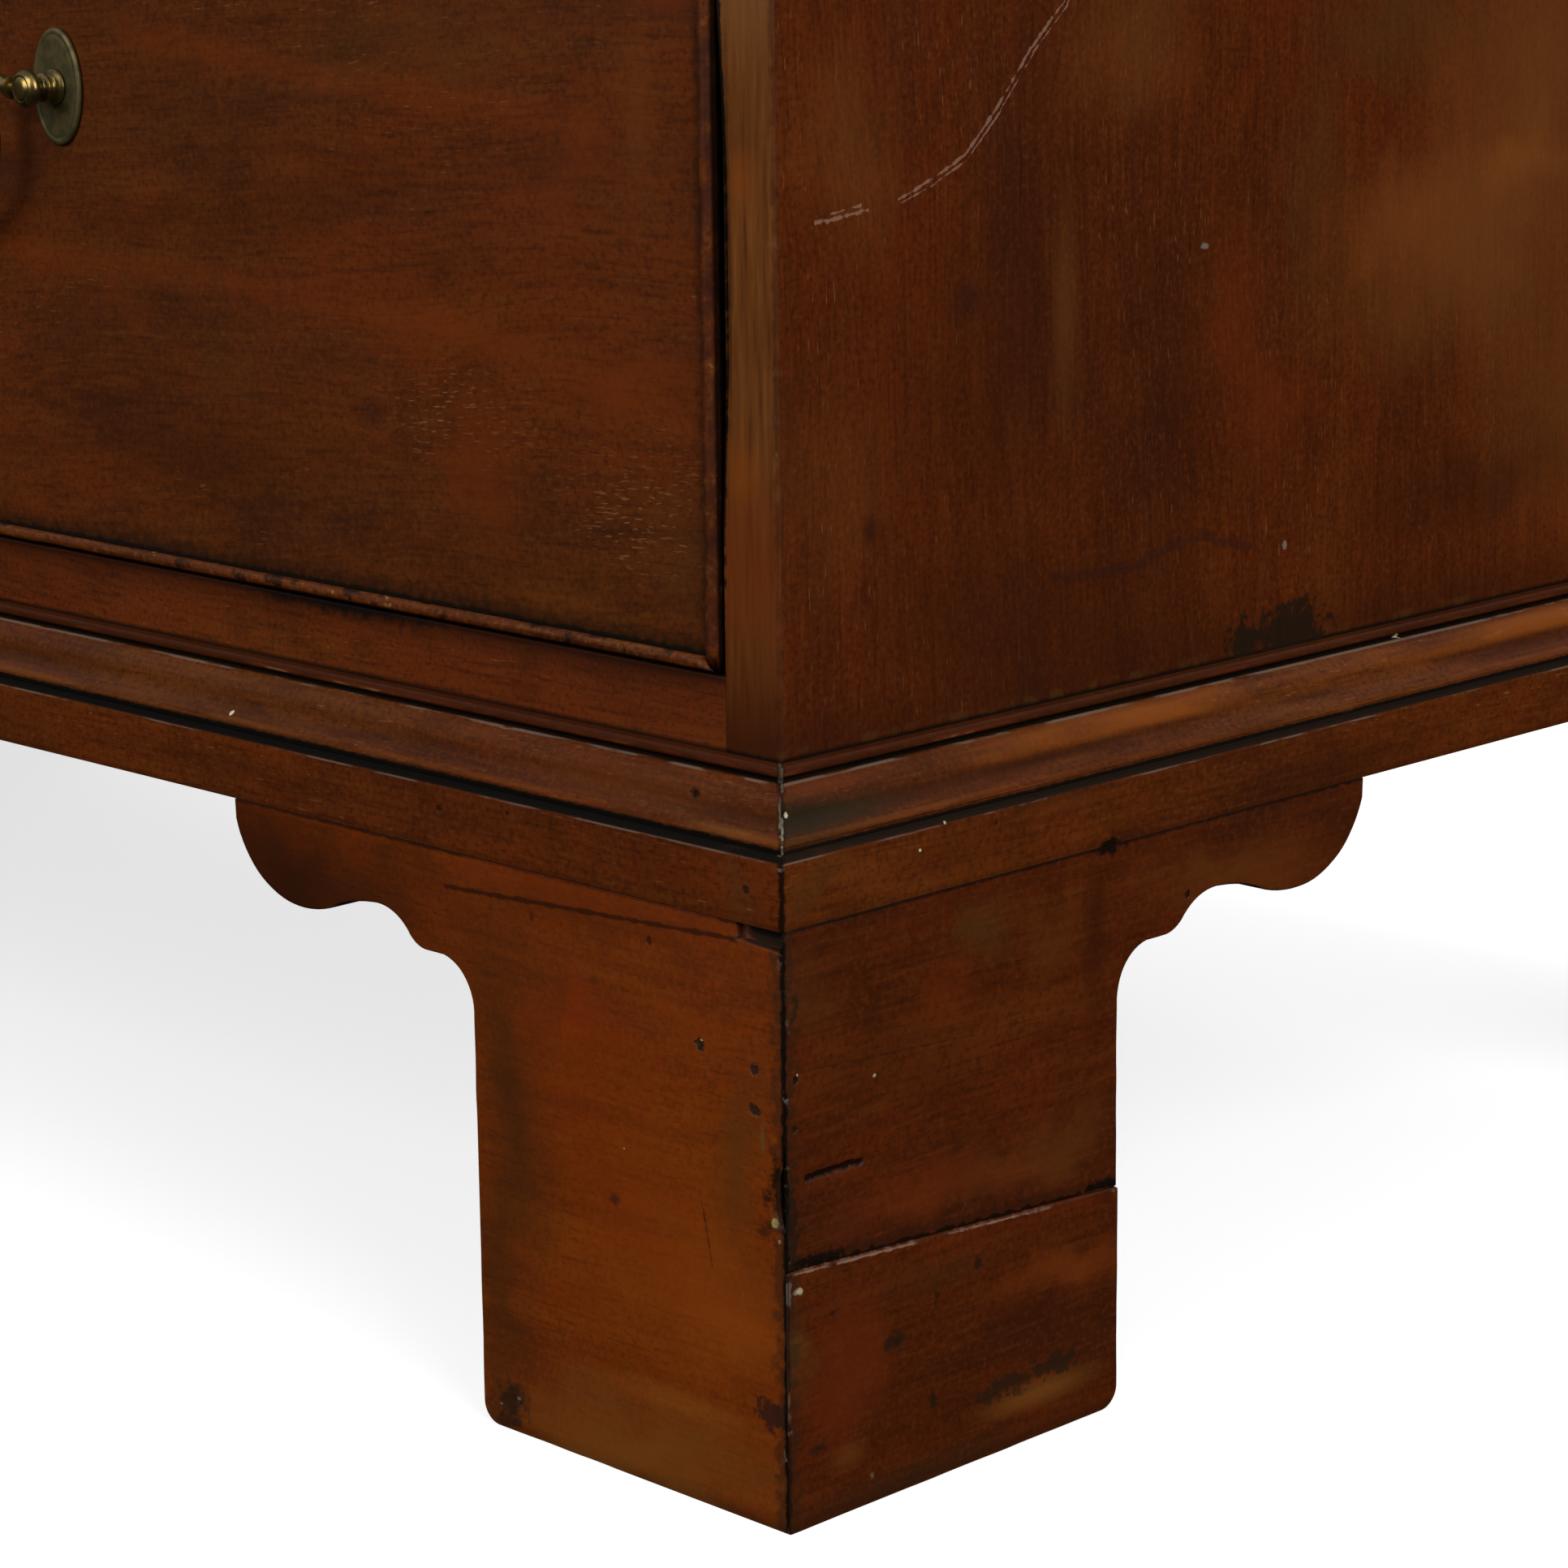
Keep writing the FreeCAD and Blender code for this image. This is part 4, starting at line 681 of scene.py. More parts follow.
# ---- Bracket feet ----
# Shaped brackets sawn from thick mahogany, the grain level, mitred at the front corners and
# glued to corner posts. The lower end of the front right foot's side is a later piece.


def bracket_wood(name, along, seed, **colours):
    """Bracket's mahogany, grimy along the seam to the band and down to the floor."""
    wood = mahogany(name, along, seed, dashes=0.12, sway=5, **colours)
    wood.line(GRIME_AND_SHADE, BAND_BOTTOM, 0.8, 0.85, 0.8, 0.2)
    wood.line(DEEP, 0.0, 4, 0.5)
    return wood


def old_foot(node, wood, pale, dents, cuts, gap=()):
    """Lay a bracket with a black mitre, which has soft brown edges and dust caught in it. Each
    row of gap is the height, half height and colour of the painted shade in the open gap over the corner."""
    wood.coat((50, 32, 18), mitre_lines(wood, 3.2, 0.4), 0.6)
    wood.coat(GRIME_AND_SHADE, mitre_lines(wood, 0.85, 0.25), 0.95)
    caught = wood.ramp(wood.blotches(260.0, 3.0, 90.0), 0.58, 0.66)
    wood.coat(DUST_AND_SHEEN, wood.both(mitre_lines(wood, 1.2, 0.5), caught), 0.5)
    rubbed_arris(wood, pale=pale)
    for z, half, colour in gap:
        wood.coat(colour, wood.spot((450, corner_y + 1.6, z), (9.0, 1.8, half), 0.3), roughness=0.9)
    dress(node, wood, arris=0.5, cell=4, sway=0.15, dents=dents, cuts=cuts, seams=(("Z", BAND_BOTTOM),))


FOOT_OLIVE = (62, 36, 14)
for hand, node in ((1, "foot_front_right_face"), (-1, "foot_front_left_face")):
    face = bracket_wood(node, "X", 30.0 + hand, body=(118, 49, 8), red=(128, 52, 9),
                        deep=(82, 36, 8), gold=(134, 66, 15), bold=0.9)
    face.clouds(
            "Y", (296, 112, 84, 40, (54, 23, 7), 1.0), (368, 78, 22, 64, FOOT_OLIVE, 0.75),
            (398, 121, 60, 8, (76, 34, 10), 0.5), (396, 100, 26, 14, (134, 48, 10), 0.5),
            (430, 104, 20, 8, (134, 58, 12), 0.35), (430, 52, 40, 34, (146, 68, 14), 0.45),
            (440, 42, 24, 18, (150, 74, 18), 0.4), (410, 8, 70, 16, (120, 70, 24), 0.8),
            (424, 21, 34, 5, (146, 86, 28), 0.4), (446, 78, 9, 34, (92, 54, 18), 0.6),
            (390, 40, 26, 10, (118, 44, 12), 0.4), (402, 72, 40, 34, (128, 47, 9), 0.35),
            (364, 34, 12, 40, FOOT_OLIVE, 0.55), (386, 94, 8, 30, (84, 38, 12), 0.35), hand=hand)
    dents = []
    cuts = []
    if hand == 1:
        # Shim let in under the band, nail holes, old knocks, and a corner made good with filler.
        shim = face.both(face.rise(124.2, 124.7), face.patch("Y", 398, 126, 46, 10, 0.1))
        face.coat((116, 46, 14), shim, 0.3)
        face.coat(DEEP, face.stroke("Y", (352, 121.9), (443, 126.4), 0.8, 0.25), 0.85)
        face.coat((34, 26, 18), face.patch("Y", 369, 6, 8, 8, 0.8, 0.3), 0.85)
        face.marks(
                "Y", (431.8, 101.6, 1.9, 2.0, (36, 34, 14), 0.95, 0.5, -0.4),
                (432.4, 102.8, 0.6, 0.4, BONE, 0.75, 0.4, 0.2),
                (448.1, 99.5, 1.4, 1.3, (34, 26, 26), 0.85, 0.7, -0.3),
                (447.9, 91.0, 1.7, 1.5, (34, 26, 26), 0.85, 0.7, -0.3),
                (417.1, 121.2, 1.1, 1.3, (46, 20, 10), 0.8, 0.8, -0.2),
                (380.3, 119.9, 1.6, 1.4, (62, 28, 12), 0.7, 0.8),
                (405.4, 61.7, 2.6, 2.0, (52, 28, 20), 0.75, 1.0),
                (399, 109.5, 2.4, 1.6, (70, 36, 12), 0.6, 1.0), (408, 74.0, 0.4, 0.4, BONE, 0.6, 0.4),
                (366, 5.5, 0.8, 0.5, DUST_AND_SHEEN, 0.7, 0.4), (372, 8.2, 0.6, 0.4, DUST_AND_SHEEN, 0.6, 0.4),
                (452, 25.6, 5.0, 3.6, (46, 26, 24), 0.8, 0.3), (455.4, 74, 5.2, 9, GRIME_AND_SHADE, 0.95, 0.7),
                (450.5, 66, 3.5, 4, (30, 20, 10), 0.6, 1.0),
                (453.4, 67.8, 1.1, 1.4, (200, 182, 108), 0.9, 0.5, 0.3),
                (454.6, 64, 0.6, 0.7, BONE, 0.6, 0.6, 0.2), (450, 85, 1.0, 5, (104, 78, 44), 0.6, 1.0))
        face.coat((58, 28, 12), face.stroke("Y", (432.5, 64), (431, 70), 0.4, 0.8), 0.6)
        face.coat((58, 28, 12), face.stroke("Y", (432.5, 64), (434.5, 54), 0.35, 0.8), 0.6)
        dents = [((corner_x, corner_y, 74), (5, 5, 8.5), 1.8)]
        cuts = [("X", x) for x in (450, 452, 453.5, 455, 455.8)]
        cuts += [("Z", z) for z in (64.5, 66, 67, 69, 71, 75, 77, 80, 82)]
    # Painted shade fills the tapered gap over the right foot's corner, dark all through.
    old_foot(node, face, 0.35, dents, cuts, gap=((127.8, 3.2, (40, 22, 10)), (129.4, 2.4, GRIME_AND_SHADE)))

FLANK_LIGHT = (104, 54, 18)
FLANK_RED = (112, 46, 12)
for hand, node in ((1, "foot_front_right_side"), (-1, "foot_front_left_side"), (1, "foot_rear_right_side"),
                   (-1, "foot_rear_left_side"), (1, "foot_front_right_tip")):
    flank = bracket_wood(node, "Y", 40.0 + len(node) + hand, body=(79, 31, 7),
                         red=(96, 35, 8), deep=(50, 21, 6), gold=(104, 50, 15), bold=0.85)
    dents = []
    cuts = []
    if node == "foot_front_right_side":
        # A slit, an open joint above the renewed end, filler and soot beside the mitre.
        flank.clouds(
                "X", (-90, 117, 44, 13, FLANK_LIGHT, 0.6), (-190, 65, 40, 10, FLANK_RED, 0.55),
                (-157, 67, 32, 12, FLANK_LIGHT, 0.5), (-187, 108, 12, 8, FLANK_RED, 0.35),
                (-178, 120, 18, 8, OLIVE, 0.5), (-152, 115, 14, 12, FLANK_LIGHT, 0.4),
                (-225, 116, 14, 14, OLIVE, 0.35), (-141, 110, 6, 26, DEEP, 0.6),
                (-225, 66, 12, 8, (88, 34, 16), 0.5), (-200, 92, 40, 14, DEEP, 0.25))
        flank.marks(
                "X", (-137.3, 130, 6.5, 2.6, GRIME_AND_SHADE, 0.9, 0.6), (-236.4, 68, 3.8, 13, GRIME_AND_SHADE, 0.95, 0.8),
                (-234.2, 98.6, 1.0, 1.3, GRIME_AND_SHADE, 0.9, 0.6, -0.3),
                (-233.6, 99.4, 0.4, 0.4, BONE, 0.7, 0.4), (-234.4, 88, 0.9, 1.2, GRIME_AND_SHADE, 0.8, 0.6, -0.3),
                (-110, 114, 1.0, 1.0, GRIME_AND_SHADE, 0.8, 0.6, -0.3),
                (-210.8, 94.3, 0.45, 0.45, BONE, 0.5, 0.4),
                (-234, 113, 2.0, 5.0, (30, 24, 14), 0.7, 1.0))
        flank.coat(GRIME_AND_SHADE, flank.stroke("X", (-231, 76.6), (-215, 76.6), 1.1, 0.3), 0.85, relief=-0.4)
        for colour, start, end, width, ragged, strength in (
                (DEEP, (-238, 59.0), (-134, 52.8), 2.2, 0.4, 0.6),
                (GRIME_AND_SHADE, (-238, 58.0), (-134, 51.8), 0.9, 0.5, 0.9),
                (GRIME_AND_SHADE, (-238, 59.0), (-222, 58.0), 1.8, 0.4, 0.9),
                (GRIME_AND_SHADE, (-143, 53.2), (-134, 52.6), 1.5, 0.4, 0.9),
                (DEEP, (-236, 100), (-180, 96.5), 0.25, 0.8, 0.5)):
            flank.coat(colour, flank.stroke("X", start, end, width, ragged), strength)
        dents = [((corner_x, -223, 76.4), (4, 9, 1.5), 0.7), ((corner_x, corner_y, 73), (5, 3, 9), 0.8)]
        cuts = [("Z", z) for z in (74.9, 75.6, 76.4, 77.2, 77.9)]
    if node == "foot_front_right_tip":
        flank.clouds(
                "X", (-155, 40, 34, 9, (122, 56, 16), 0.6), (-162, 28, 30, 7, DEEP, 0.4),
                (-160, 10.5, 28, 5, (134, 84, 32), 0.5), (-222, 30, 18, 26, (104, 42, 14), 0.6),
                (-235, 40, 8, 14, (98, 68, 30), 0.6), (-220, 13, 8, 5, (112, 60, 24), 0.5),
                (-190, 46, 30, 6, (74, 40, 18), 0.4), (-200, 3, 60, 5, (44, 32, 18), 0.5))
        flank.marks(
                "X", (-179.2, 45.0, 1.8, 1.8, (34, 26, 16), 0.8, 0.8, -0.2),
                (-224.2, 45.7, 1.5, 1.5, (34, 24, 16), 0.8, 0.8, -0.2),
                (-206.0, 34.6, 4.2, 2.8, (36, 24, 16), 0.8, 1.0, -0.1),
                (-192.5, 41.6, 1.6, 1.6, (38, 24, 16), 0.7, 0.8, -0.1),
                (-193.9, 17.9, 1.8, 3.8, (32, 24, 16), 0.8, 0.9, -0.1),
                (-228.5, 17.0, 3.4, 2.2, (34, 22, 16), 0.8, 0.9),
                (-234.6, 53.0, 2.0, 1.1, BONE, 0.6, 0.6),
                (-213, 6.5, 1.2, 1.0, (120, 104, 60), 0.6, 0.8),
                (-187, 36, 1.5, 1.2, (42, 28, 18), 0.6, 1.0))
        flank.coat((36, 28, 16), flank.stroke("X", (-178, 14.5), (-148, 16.0), 2.6, 0.8), 0.7)
        pale_line = flank.ramp(flank.blotches(90.0, 4.0, 94.0), 0.44, 0.56)
        joint = flank.stroke("X", (-238, 57.2), (-134, 51.0), 0.45, 0.4)
        flank.coat((168, 130, 108), flank.both(joint, pale_line), 0.65)
    old_foot(node, flank, 0.4, dents, cuts)
for node in ("foot_rear_backs", "foot_blocks"):
    keep(node, inside_deal)

# ---- Top ----
# One wide mahogany board with an ovolo worked along the front and the ends, slotted over the
# sides' tongues. Its polish is the brightest on the chest, with faint rings from cups.
top = mahogany("top", "X", 50.0, body=(106, 51, 14), red=(118, 52, 13), sway=20, bold=0.75)
for x, y, half in ((120, -50, 45), (150, -20, 40), (-250, 80, 38)):
    inside = top.patch("Z", x, y, half - 2, half - 2, 0.06, 0.02)
    ring = top.both(top.patch("Z", x, y, half, half, 0.05, 0.02), top.math("SUBTRACT", 1.0, inside))
    top.coat((150, 104, 66), ring, 0.22)
top.line(GRIME_AND_SHADE, corners("top_board")[1].z - 2.5, 0.7, 0.5)
rubbed_arris(top)
dress("top_board", top, specular=0.2, arris=0.5, cell=14)

# ---- Drawers ----
# Mahogany fronts on oak linings, lapped dovetails in front and through ones at the back. Each
# front is edged with a mitred cock bead, whose round nose stands proud of the face.


def board(low, high):
    """Squared block between two corners."""
    low, high = metres(low), metres(high)
    mesh = bmesh.new()
    bmesh.ops.create_cube(mesh, size=1.0)
    bmesh.ops.scale(mesh, vec=high - low, verts=mesh.verts)
    bmesh.ops.translate(mesh, vec=(high + low) / 2, verts=mesh.verts)
    return mesh


def join(target, source):
    """Move the mesh source into target."""
    data = solid(source, "part")
    target.from_mesh(data)
    bpy.data.meshes.remove(data)


def oak(name, along, seed):
    """Quartered oak lining, dry and brown, with dark open pores."""
    wood = Finish(name, (142, 106, 66), seed, along)
    wood.flow(6)
    wood.tint((112, 78, 44), wood.ripples(4.0, 90.0, 4.0), 0.45, 0.65, 0.7)
    wood.tint((70, 46, 26), wood.ripples(120.0, 1500.0, 1.0, 6.0), 0.6, 0.75, 0.7, relief=-0.06)
    wood.tint((164, 130, 86), wood.ripples(60.0, 200.0, 1.0, 9.0), 0.66, 0.74, 0.4)
    wood.tint((84, 62, 42), wood.blotches(8.0, 3.0, 12.0), 0.45, 0.75, 0.5)
    wood.roughness = 0.65
    return wood


BEAD = 3.0
BEAD_NOSE = 1.4
BEAD_CELL = 5.0


def bead_strip(low, high, upright, side):
    """One run of cock bead round a drawer front between two corners, mitred at both ends. side
    is 1 for the run at the top or the right, and -1 for the others."""
    if upright:
        x0, x1 = (high.x - BEAD, high.x) if side == 1 else (low.x, low.x + BEAD)
        z0, z1 = low.z, high.z
    else:
        x0, x1 = low.x, high.x
        z0, z1 = (high.z - BEAD, high.z) if side == 1 else (low.z, low.z + BEAD)
    strip = board((x0, low.y, z0), (x1, high.y, z1))
    axis = 2 if upright else 0
    nose = [edge for edge in strip.edges if all(vert.co.y < low.y * MM + 1e-5 for vert in edge.verts)
            and abs(edge.verts[0].co[axis] - edge.verts[1].co[axis]) > BEAD * MM]
    round_over(strip, nose, BEAD_NOSE, 4)
    for end in (-1, 1):
        to_right, to_top = (side, end) if upright else (end, side)
        corner = metres((high.x if to_right == 1 else low.x, 0.0, high.z if to_top == 1 else low.z))
        outward = Vector((-side, 0.0, end) if upright else (end, 0.0, -side)).normalized()
        divide(strip, corner, outward, clear_outer=True)
        bmesh.ops.holes_fill(strip, edges=[edge for edge in strip.edges if edge.is_boundary])
    start, end = (z0, z1) if upright else (x0, x1)
    count = int((end - start) / BEAD_CELL)
    length = Vector((0, 0, 1) if upright else (1, 0, 0))
    for step in range(1, count):
        divide(strip, length * ((start + step * (end - start) / count) * MM), length)
    for vert in strip.verts:
        if vert.co.y < (front_y + 0.3) * MM:
            dip = 0.3 * max(0.0, noise.noise(vert.co * 45.0) + 0.4)
            chip = 1.6 * max(0.0, noise.noise(vert.co * 120.0 + Vector((7.0, 0.0, 0.0))) - 0.3)
            vert.co.y += (dip + chip) * MM
    return strip


oak_long = oak("oak_linings", "Y", 3.0).done(0.2)
oak_wide = oak("oak_backs", "X", 7.0).done(0.2)
for number, drawer in enumerate(DRAWERS):
    low, high = corners(drawer + "_beads")
    front = mahogany(drawer, "X", 60.0 + number * 5, body=(90, 42, 12), red=(112, 46, 12),
                     deep=(52, 25, 10), gold=(108, 60, 21), tilt=4.0, sway=10, bold=0.8)
    if number == 0:
        # Clouds of the figure: two warm streaks that slope to the right, duller ones between,
        # warm patches towards the lower right, where the pores lie open.
        front.clouds(
                "Y", (180, 266, 30, 14, PURPLE, 0.5), (235, 262, 40, 10, DEEP, 0.35),
                (300, 270, 50, 14, DEEP, 0.3), (312, 221, 10, 6, PURPLE, 0.5),
                (245, 205, 74, 20, DEEP, 0.45), (352, 209, 16, 20, RED, 0.6),
                (374, 275, 18, 14, RED, 0.5), (400, 233, 26, 12, RED, 0.6),
                (398, 285, 14, 30, GOLD, 0.4), (335, 236, 46, 9, RED, 0.45),
                (220, 240, 30, 8, RED, 0.4), (265, 225, 22, 12, OLIVE, 0.25),
                (408, 200, 18, 16, OLIVE, 0.3), (410, 314, 20, 4, RED, 0.6),
                (330, 300, 60, 16, OLIVE, 0.25))
        for warm in (((226, 302), (300, 294), (385, 288)),
                     ((173, 248), (264, 246), (340, 243), (417, 228))):
            for start, end in zip(warm, warm[1:]):
                front.coat((124, 53, 14), front.stroke("Y", start, end, 5.0, 0.2), 0.22)
        fleck = front.ripples(300.0, 1700.0, 1.0, 80.0)
        open_pores = front.any_of([front.patch("Y", x, z, wide, tall, place=front.drifted)
                                   for x, z, wide, tall in ((396, 207, 36, 20), (340, 220, 40, 14))])
        front.coat(PALE, front.both(front.ramp(fleck, 0.6, 0.72), open_pores), 0.6, relief=-0.04)
    # Painted shade towards the beads, and nearly black along them.
    sight = (("Z", low.z + BEAD), ("Z", high.z - BEAD), ("X", high.x - BEAD), ("X", low.x + BEAD))
    edges = [front.layer(axis, level, 6 if axis == "Z" else 4, 1.0, 0.15) for axis, level in sight]
    edges.append(front.spot((high.x, 0.0, low.z), (16, FAR, 12), 1.0, 0.2))
    front.coat((32, 19, 10), front.any_of(edges), 0.8)
    lines = [front.layer(axis, level, half, 0.6, 0.2)
             for (axis, level), half in zip(sight, (1.3, 1.0, 1.0, 1.0))]
    front.coat((16, 15, 11), front.any_of(lines), 0.9)
    dress(drawer + "_front", front, arris=0.3, sway=0.15)

    bead = mahogany(drawer + "_beads", "X", 62.0 + number * 5, body=(100, 47, 14), red=(106, 43, 12),
                    deep=(52, 24, 9), gold=(136, 82, 32), dashes=0.3, sway=1)
    chips = bead.blotches(170.0, 4.0, 3.0)
    bead.tint((170, 124, 76), chips, 0.65, 0.72, 0.6)
    bead.tint(GRIME_AND_SHADE, chips, 0.46, 0.36, 0.75)
    for hand in (-1, 1):
        middle = (hand * (high.x - BEAD / 2), 0.0, (low.z + high.z) / 2)
        upright = bead.spot(middle, (BEAD, FAR, high.z - low.z), 0.3)
        bead.coat((62, 28, 17), bead.both(upright, bead.ramp(chips, 0.62, 0.45)), 0.75)
        # Painted shade in the gap beside the upright run.
        bead.coat(GRIME_AND_SHADE, bead.spot((hand * high.x, front_y + 5, 0.0), (1.0, 5.4, FAR), 0.3), 0.9)
    # Painted shade under the bottom run and along the beads' sides at the face.
    bead.line(GRIME_AND_SHADE, low.z, 0.8, 0.85, 0.5)
    bead.coat(GRIME_AND_SHADE, bead.layer("Y", front_y, 0.8, 0.6), 0.8)
    beads = bmesh.new()
    for upright in (False, True):
        for side_sign in (-1, 1):
            join(beads, bead_strip(low, high, upright, side_sign))
    lay(beads, drawer + "_beads", bead.done(0.12))
    keep(drawer + "_sides", oak_long)
    keep(drawer + "_back", oak_wide)
    keep(drawer + "_bottom", oak_wide)

# ---- Handles ----
# Cast brass swan-neck handles: an oval plate with a raised rim under each turned post, the bail
# sprung between the two flattened balls. The brass has gone olive, and shines only where
# fingers rub it. Each post's shank goes through the drawer front to a nut.


def brass(name, seed, bright, rough=0.3, body=(118, 100, 58), skin_colour=(80, 70, 42)):
    """Old brass: dull olive skin over metal, brighter where it is touched."""
    metal = Finish(name, body, seed)
    skin = metal.blotches(300.0, 4.0)
    metal.tint(skin_colour, skin, 0.35, 0.65, 0.8)
    metal.tint((196, 164, 92), skin, 0.6, 0.4, bright)
    metal.roughness = metal.ramp(skin, 0.3, 0.7, rough, rough + 0.14)
    metal.relief = metal.math("MULTIPLY", skin, 0.02 * MM)
    return metal


def turn_up(outline, x, z, steps=48):
    """Solid turned about a line along y, from an outline of radius and distance forward of the
    drawer's face."""
    mesh = bmesh.new()
    points = [mesh.verts.new(metres((x + radius, front_y - forward, z))) for radius, forward in outline]
    lines = [mesh.edges.new(pair) for pair in zip(points, points[1:])]
    bmesh.ops.spin(mesh, geom=points + lines, cent=metres((x, 0.0, z)), axis=(0.0, -1.0, 0.0),
                   angle=2 * pi, steps=steps, use_merge=True)
    bmesh.ops.remove_doubles(mesh, verts=mesh.verts, dist=1e-6)
    bmesh.ops.recalc_face_normals(mesh, faces=mesh.faces)
    return mesh


PLATE_THICKNESS = 0.8
RIM = ((0.25, 0.25), (0.35, 0.2), (0.5, 0.05), (0.3, -0.2), (0.3, 0.0), (0.35, 0.12), (0.7, 0.02))


def oval_plate(x, z, width, height):
    """Oval plate whose rim is raised by a fine groove inside it, in steps inward and up."""
    mesh = bmesh.new()
    bmesh.ops.create_circle(mesh, cap_ends=True, segments=72, radius=0.5)
    bmesh.ops.scale(mesh, vec=(width * MM, height * MM, 1.0), verts=mesh.verts)
    bmesh.ops.rotate(mesh, cent=(0, 0, 0), matrix=Matrix.Rotation(radians(90), 3, "X"), verts=mesh.verts)
    bmesh.ops.translate(mesh, vec=metres((x, front_y, z)), verts=mesh.verts)
    face = mesh.faces[:][0]
    face.normal_update()
    if face.normal.y > 0:
        face.normal_flip()
    raised = bmesh.ops.extrude_face_region(mesh, geom=[face])["geom"]
    verts = [item for item in raised if isinstance(item, bmesh.types.BMVert)]
    bmesh.ops.translate(mesh, vec=(0.0, -PLATE_THICKNESS * MM, 0.0), verts=verts)
    lid = [item for item in raised if isinstance(item, bmesh.types.BMFace)]
    for inward, up in RIM:
        bmesh.ops.inset_region(mesh, faces=lid, thickness=inward * MM, depth=up * MM)
    bmesh.ops.recalc_face_normals(mesh, faces=mesh.faces)
    return mesh


def smooth_copy(node):
    """Copy of a CAD piece that is turned or drawn, for smooth shading."""
    mesh = merged(node)
    mesh.normal_update()
    for edge in mesh.edges:
        edge.smooth = not edge.is_manifold or edge.calc_face_angle() < radians(40)
    return mesh


# The shank, the boss on the plate, the ring on the stem, and the flattened ball.
POST = [(0.0, -23.0), (2.0, -23.0), (2.0, 1.5), (4.3, 1.5), (4.25, 1.9), (4.0, 2.25), (3.5, 2.55),
        (2.9, 2.75), (2.4, 2.95), (2.3, 3.6), (2.4, 4.25), (2.95, 4.35), (3.35, 4.65), (3.5, 5.0),
        (3.35, 5.35), (2.95, 5.65), (2.4, 5.75), (2.3, 6.2), (2.4, 7.3)]
BALL_RADIUS = 4.7
BALL_HALF = 2.5
BALL_REACH = 9.5
POST += [(BALL_RADIUS * across, BALL_REACH + BALL_HALF * forward) for across, forward in (
    (0.66, -0.77), (0.8, -0.61), (0.91, -0.41), (0.98, -0.2), (1.0, 0.0), (0.98, 0.2), (0.91, 0.41),
    (0.82, 0.57), (0.72, 0.69), (0.68, 0.73), (0.64, 0.68), (0.59, 0.68), (0.55, 0.79), (0.45, 0.88),
    (0.33, 0.94), (0.16, 0.985), (0.0, 1.0))]
POST_SPACING = 78.0
PLATE_WIDTH = 18.5
NUT = 9.0
NUT_THICKNESS = 3.0
plate_brass = brass("brass_plates", 1.0, 0.05, 0.42, (92, 82, 47), (66, 61, 36)).done(0.4, metallic=0.5)
touched_brass = brass("brass_touched", 2.0, 0.35, 0.2).done(0.5, metallic=0.9)
lock_brass = brass("brass_locks", 3.0, 0.2, 0.35).done(0.5, metallic=0.9)
bail_low, bail_high = corners("drawer_bottom_bail_right")
handle_x = (bail_low.x + bail_high.x) / 2
for drawer in DRAWERS:
    low, high = corners(drawer + "_handle_mounts")
    mounts = bmesh.new()
    z = (low.z + high.z) / 2
    for x in [hand * handle_x + side * POST_SPACING / 2 for hand in (-1, 1) for side in (-1, 1)]:
        join(mounts, oval_plate(x, z, PLATE_WIDTH, high.z - low.z))
        plates = len(mounts.faces)
        join(mounts, turn_up(POST, x, z))
        join(mounts, board((x - NUT / 2, high.y - NUT_THICKNESS, z - NUT / 2),
                           (x + NUT / 2, high.y, z + NUT / 2)))
        mounts.faces.ensure_lookup_table()
        for index in range(plates, len(mounts.faces)):
            mounts.faces[index].material_index = 1
    lay(mounts, drawer + "_handle_mounts", plate_brass, touched_brass, slot="brass", how="cast")
    for bail in (drawer + "_bail_left", drawer + "_bail_right"):
        lay(smooth_copy(bail), bail, touched_brass, slot="brass", how="cast", flat=False)
    keep(drawer + "_lock", lock_brass)
    keep(drawer + "_lock_bolt", lock_brass)

# ---- Brushing slide ----
# A thin mahogany board with clamped ends that pulls out under the top on two brass knobs.
CLAMP = 45.0
low, high = corners("brushing_slide")
slide_wood = mahogany("slide", "X", 90.0, body=(100, 48, 18))
clamp_wood = mahogany("clamps", "Y", 93.0, body=(94, 44, 17))
rubbed_arris(slide_wood)
rubbed_arris(clamp_wood)
slide = bmesh.new()
for x0, x1, index in ((low.x + CLAMP, high.x - CLAMP, 0), (low.x, low.x + CLAMP, 1),
                      (high.x - CLAMP, high.x, 1)):
    part = board((x0, low.y, low.z), (x1, high.y, high.z))
    round_over(part, part.edges[:], 0.5, 3)
    for face in part.faces:
        face.material_index = index
    join(slide, part)
lay(slide, "brushing_slide", slide_wood.done(), clamp_wood.done())
lay(smooth_copy("slide_knobs"), "slide_knobs", touched_brass, slot="brass", how="turned", flat=False)

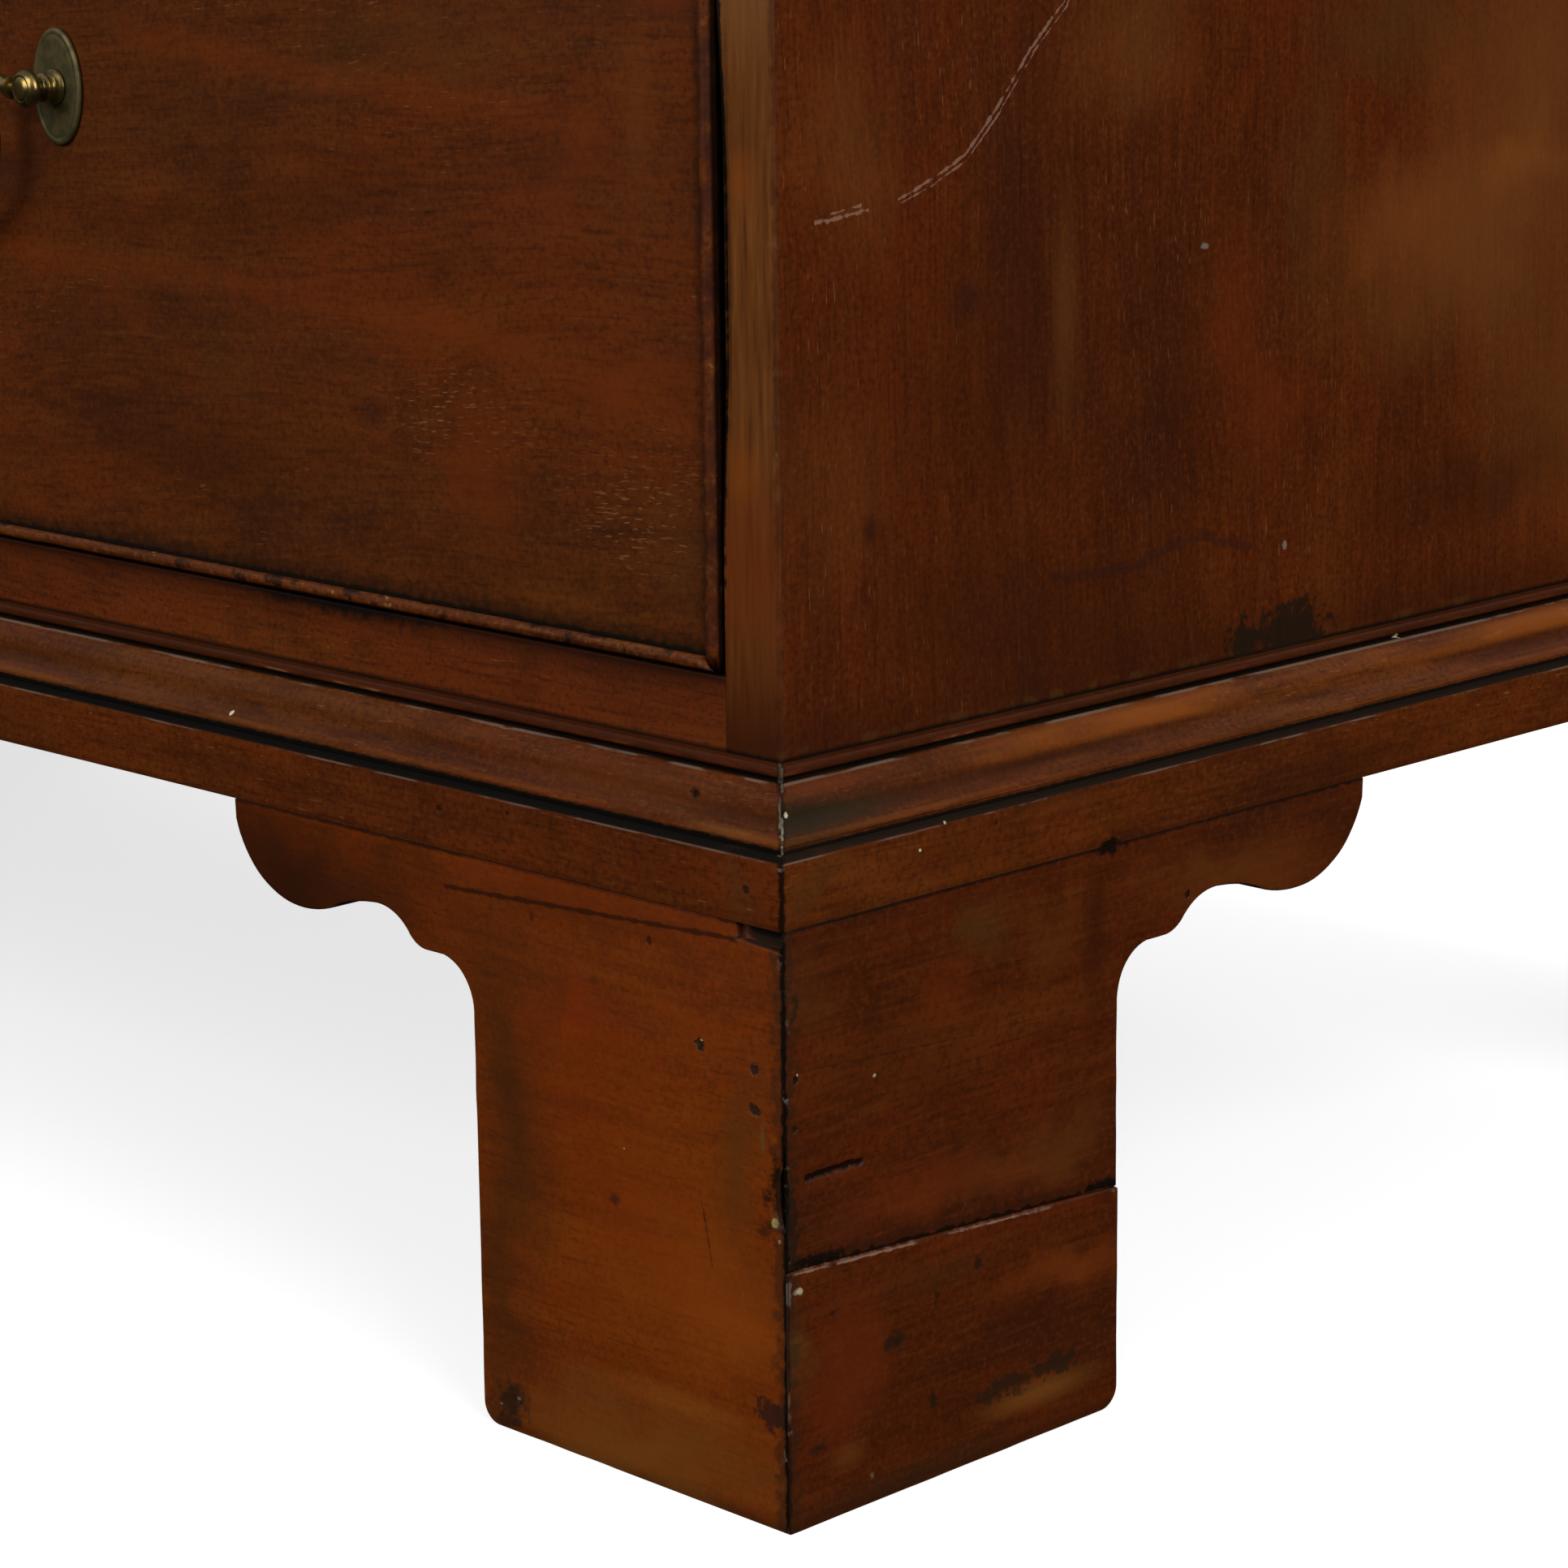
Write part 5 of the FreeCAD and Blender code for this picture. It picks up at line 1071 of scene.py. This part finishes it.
# ---- Floor, light and camera ----
# A plain pale floor, three soft lamps and the camera, all placed in metres. None of them is
# part of the chest.
floor_mesh = bmesh.new()
bmesh.ops.create_grid(floor_mesh, x_segments=1, y_segments=1, size=12.0)
paint = Finish("floor_paint", (205, 205, 205))
paint.roughness = 0.9
floor = show("floor", solid(floor_mesh, "floor", paint.done(specular=0.0, glow=0.7)))
floor.visible_glossy = False
floor.visible_diffuse = False

SKY = 0.55
world = bpy.data.worlds.new("studio")
world.use_nodes = True
sky = Shading(world.node_tree)
up = sky.add("SeparateXYZ", sky.add("TexCoord").outputs["Generated"]).outputs[2]
fade = sky.ramp(up, 0.1, 0.5, 0.01, SKY)
# The backdrop itself is white, though it lights the chest only from above.
backdrop = sky.math("MAXIMUM", fade, sky.add("LightPath").outputs["Is Camera Ray"])
background = sky.tree.nodes["Background"]
sky.feed(background.inputs[0], (255, 255, 255))
sky.feed(background.inputs[1], backdrop)
bpy.context.scene.world = world
bpy.context.scene.view_settings.view_transform = "Standard"

LAMP_SIZE = 2.0
for name, place, aim, watts in (("lamp_right", (2.8, -0.5, 1.5), (0.44, -0.1, 0.2), 52.0),
                                ("lamp_left", (0.1, -2.9, 1.5), (0.3, -0.2, 0.2), 40.0),
                                ("lamp_back", (-2.4, 2.4, 1.9), (-0.3, 0.1, 0.35), 60.0)):
    lamp = bpy.data.lights.new(name, "AREA")
    lamp.size = LAMP_SIZE
    lamp.energy = watts
    holder = show(name, lamp)
    holder.location = place
    holder.rotation_mode = "QUATERNION"
    holder.rotation_quaternion = (Vector(aim) - Vector(place)).to_track_quat("-Z", "Y")

CAMERA_PLACE = (1.0699, -0.8463, 0.3606)
CAMERA_YAW = 45.166
CAMERA_PITCH = -13.0
CAMERA_ROLL = 0.669
camera = show("camera", bpy.data.cameras.new("camera"))
camera.data.sensor_width = 36.0
camera.data.lens = 101.53
camera.matrix_world = (Matrix.Translation(CAMERA_PLACE) @ Matrix.Rotation(radians(CAMERA_YAW), 4, "Z")
                       @ Matrix.Rotation(radians(90 + CAMERA_PITCH), 4, "X")
                       @ Matrix.Rotation(radians(-CAMERA_ROLL), 4, "Z"))
camera.data.clip_start = 0.01
bpy.context.scene.camera = camera
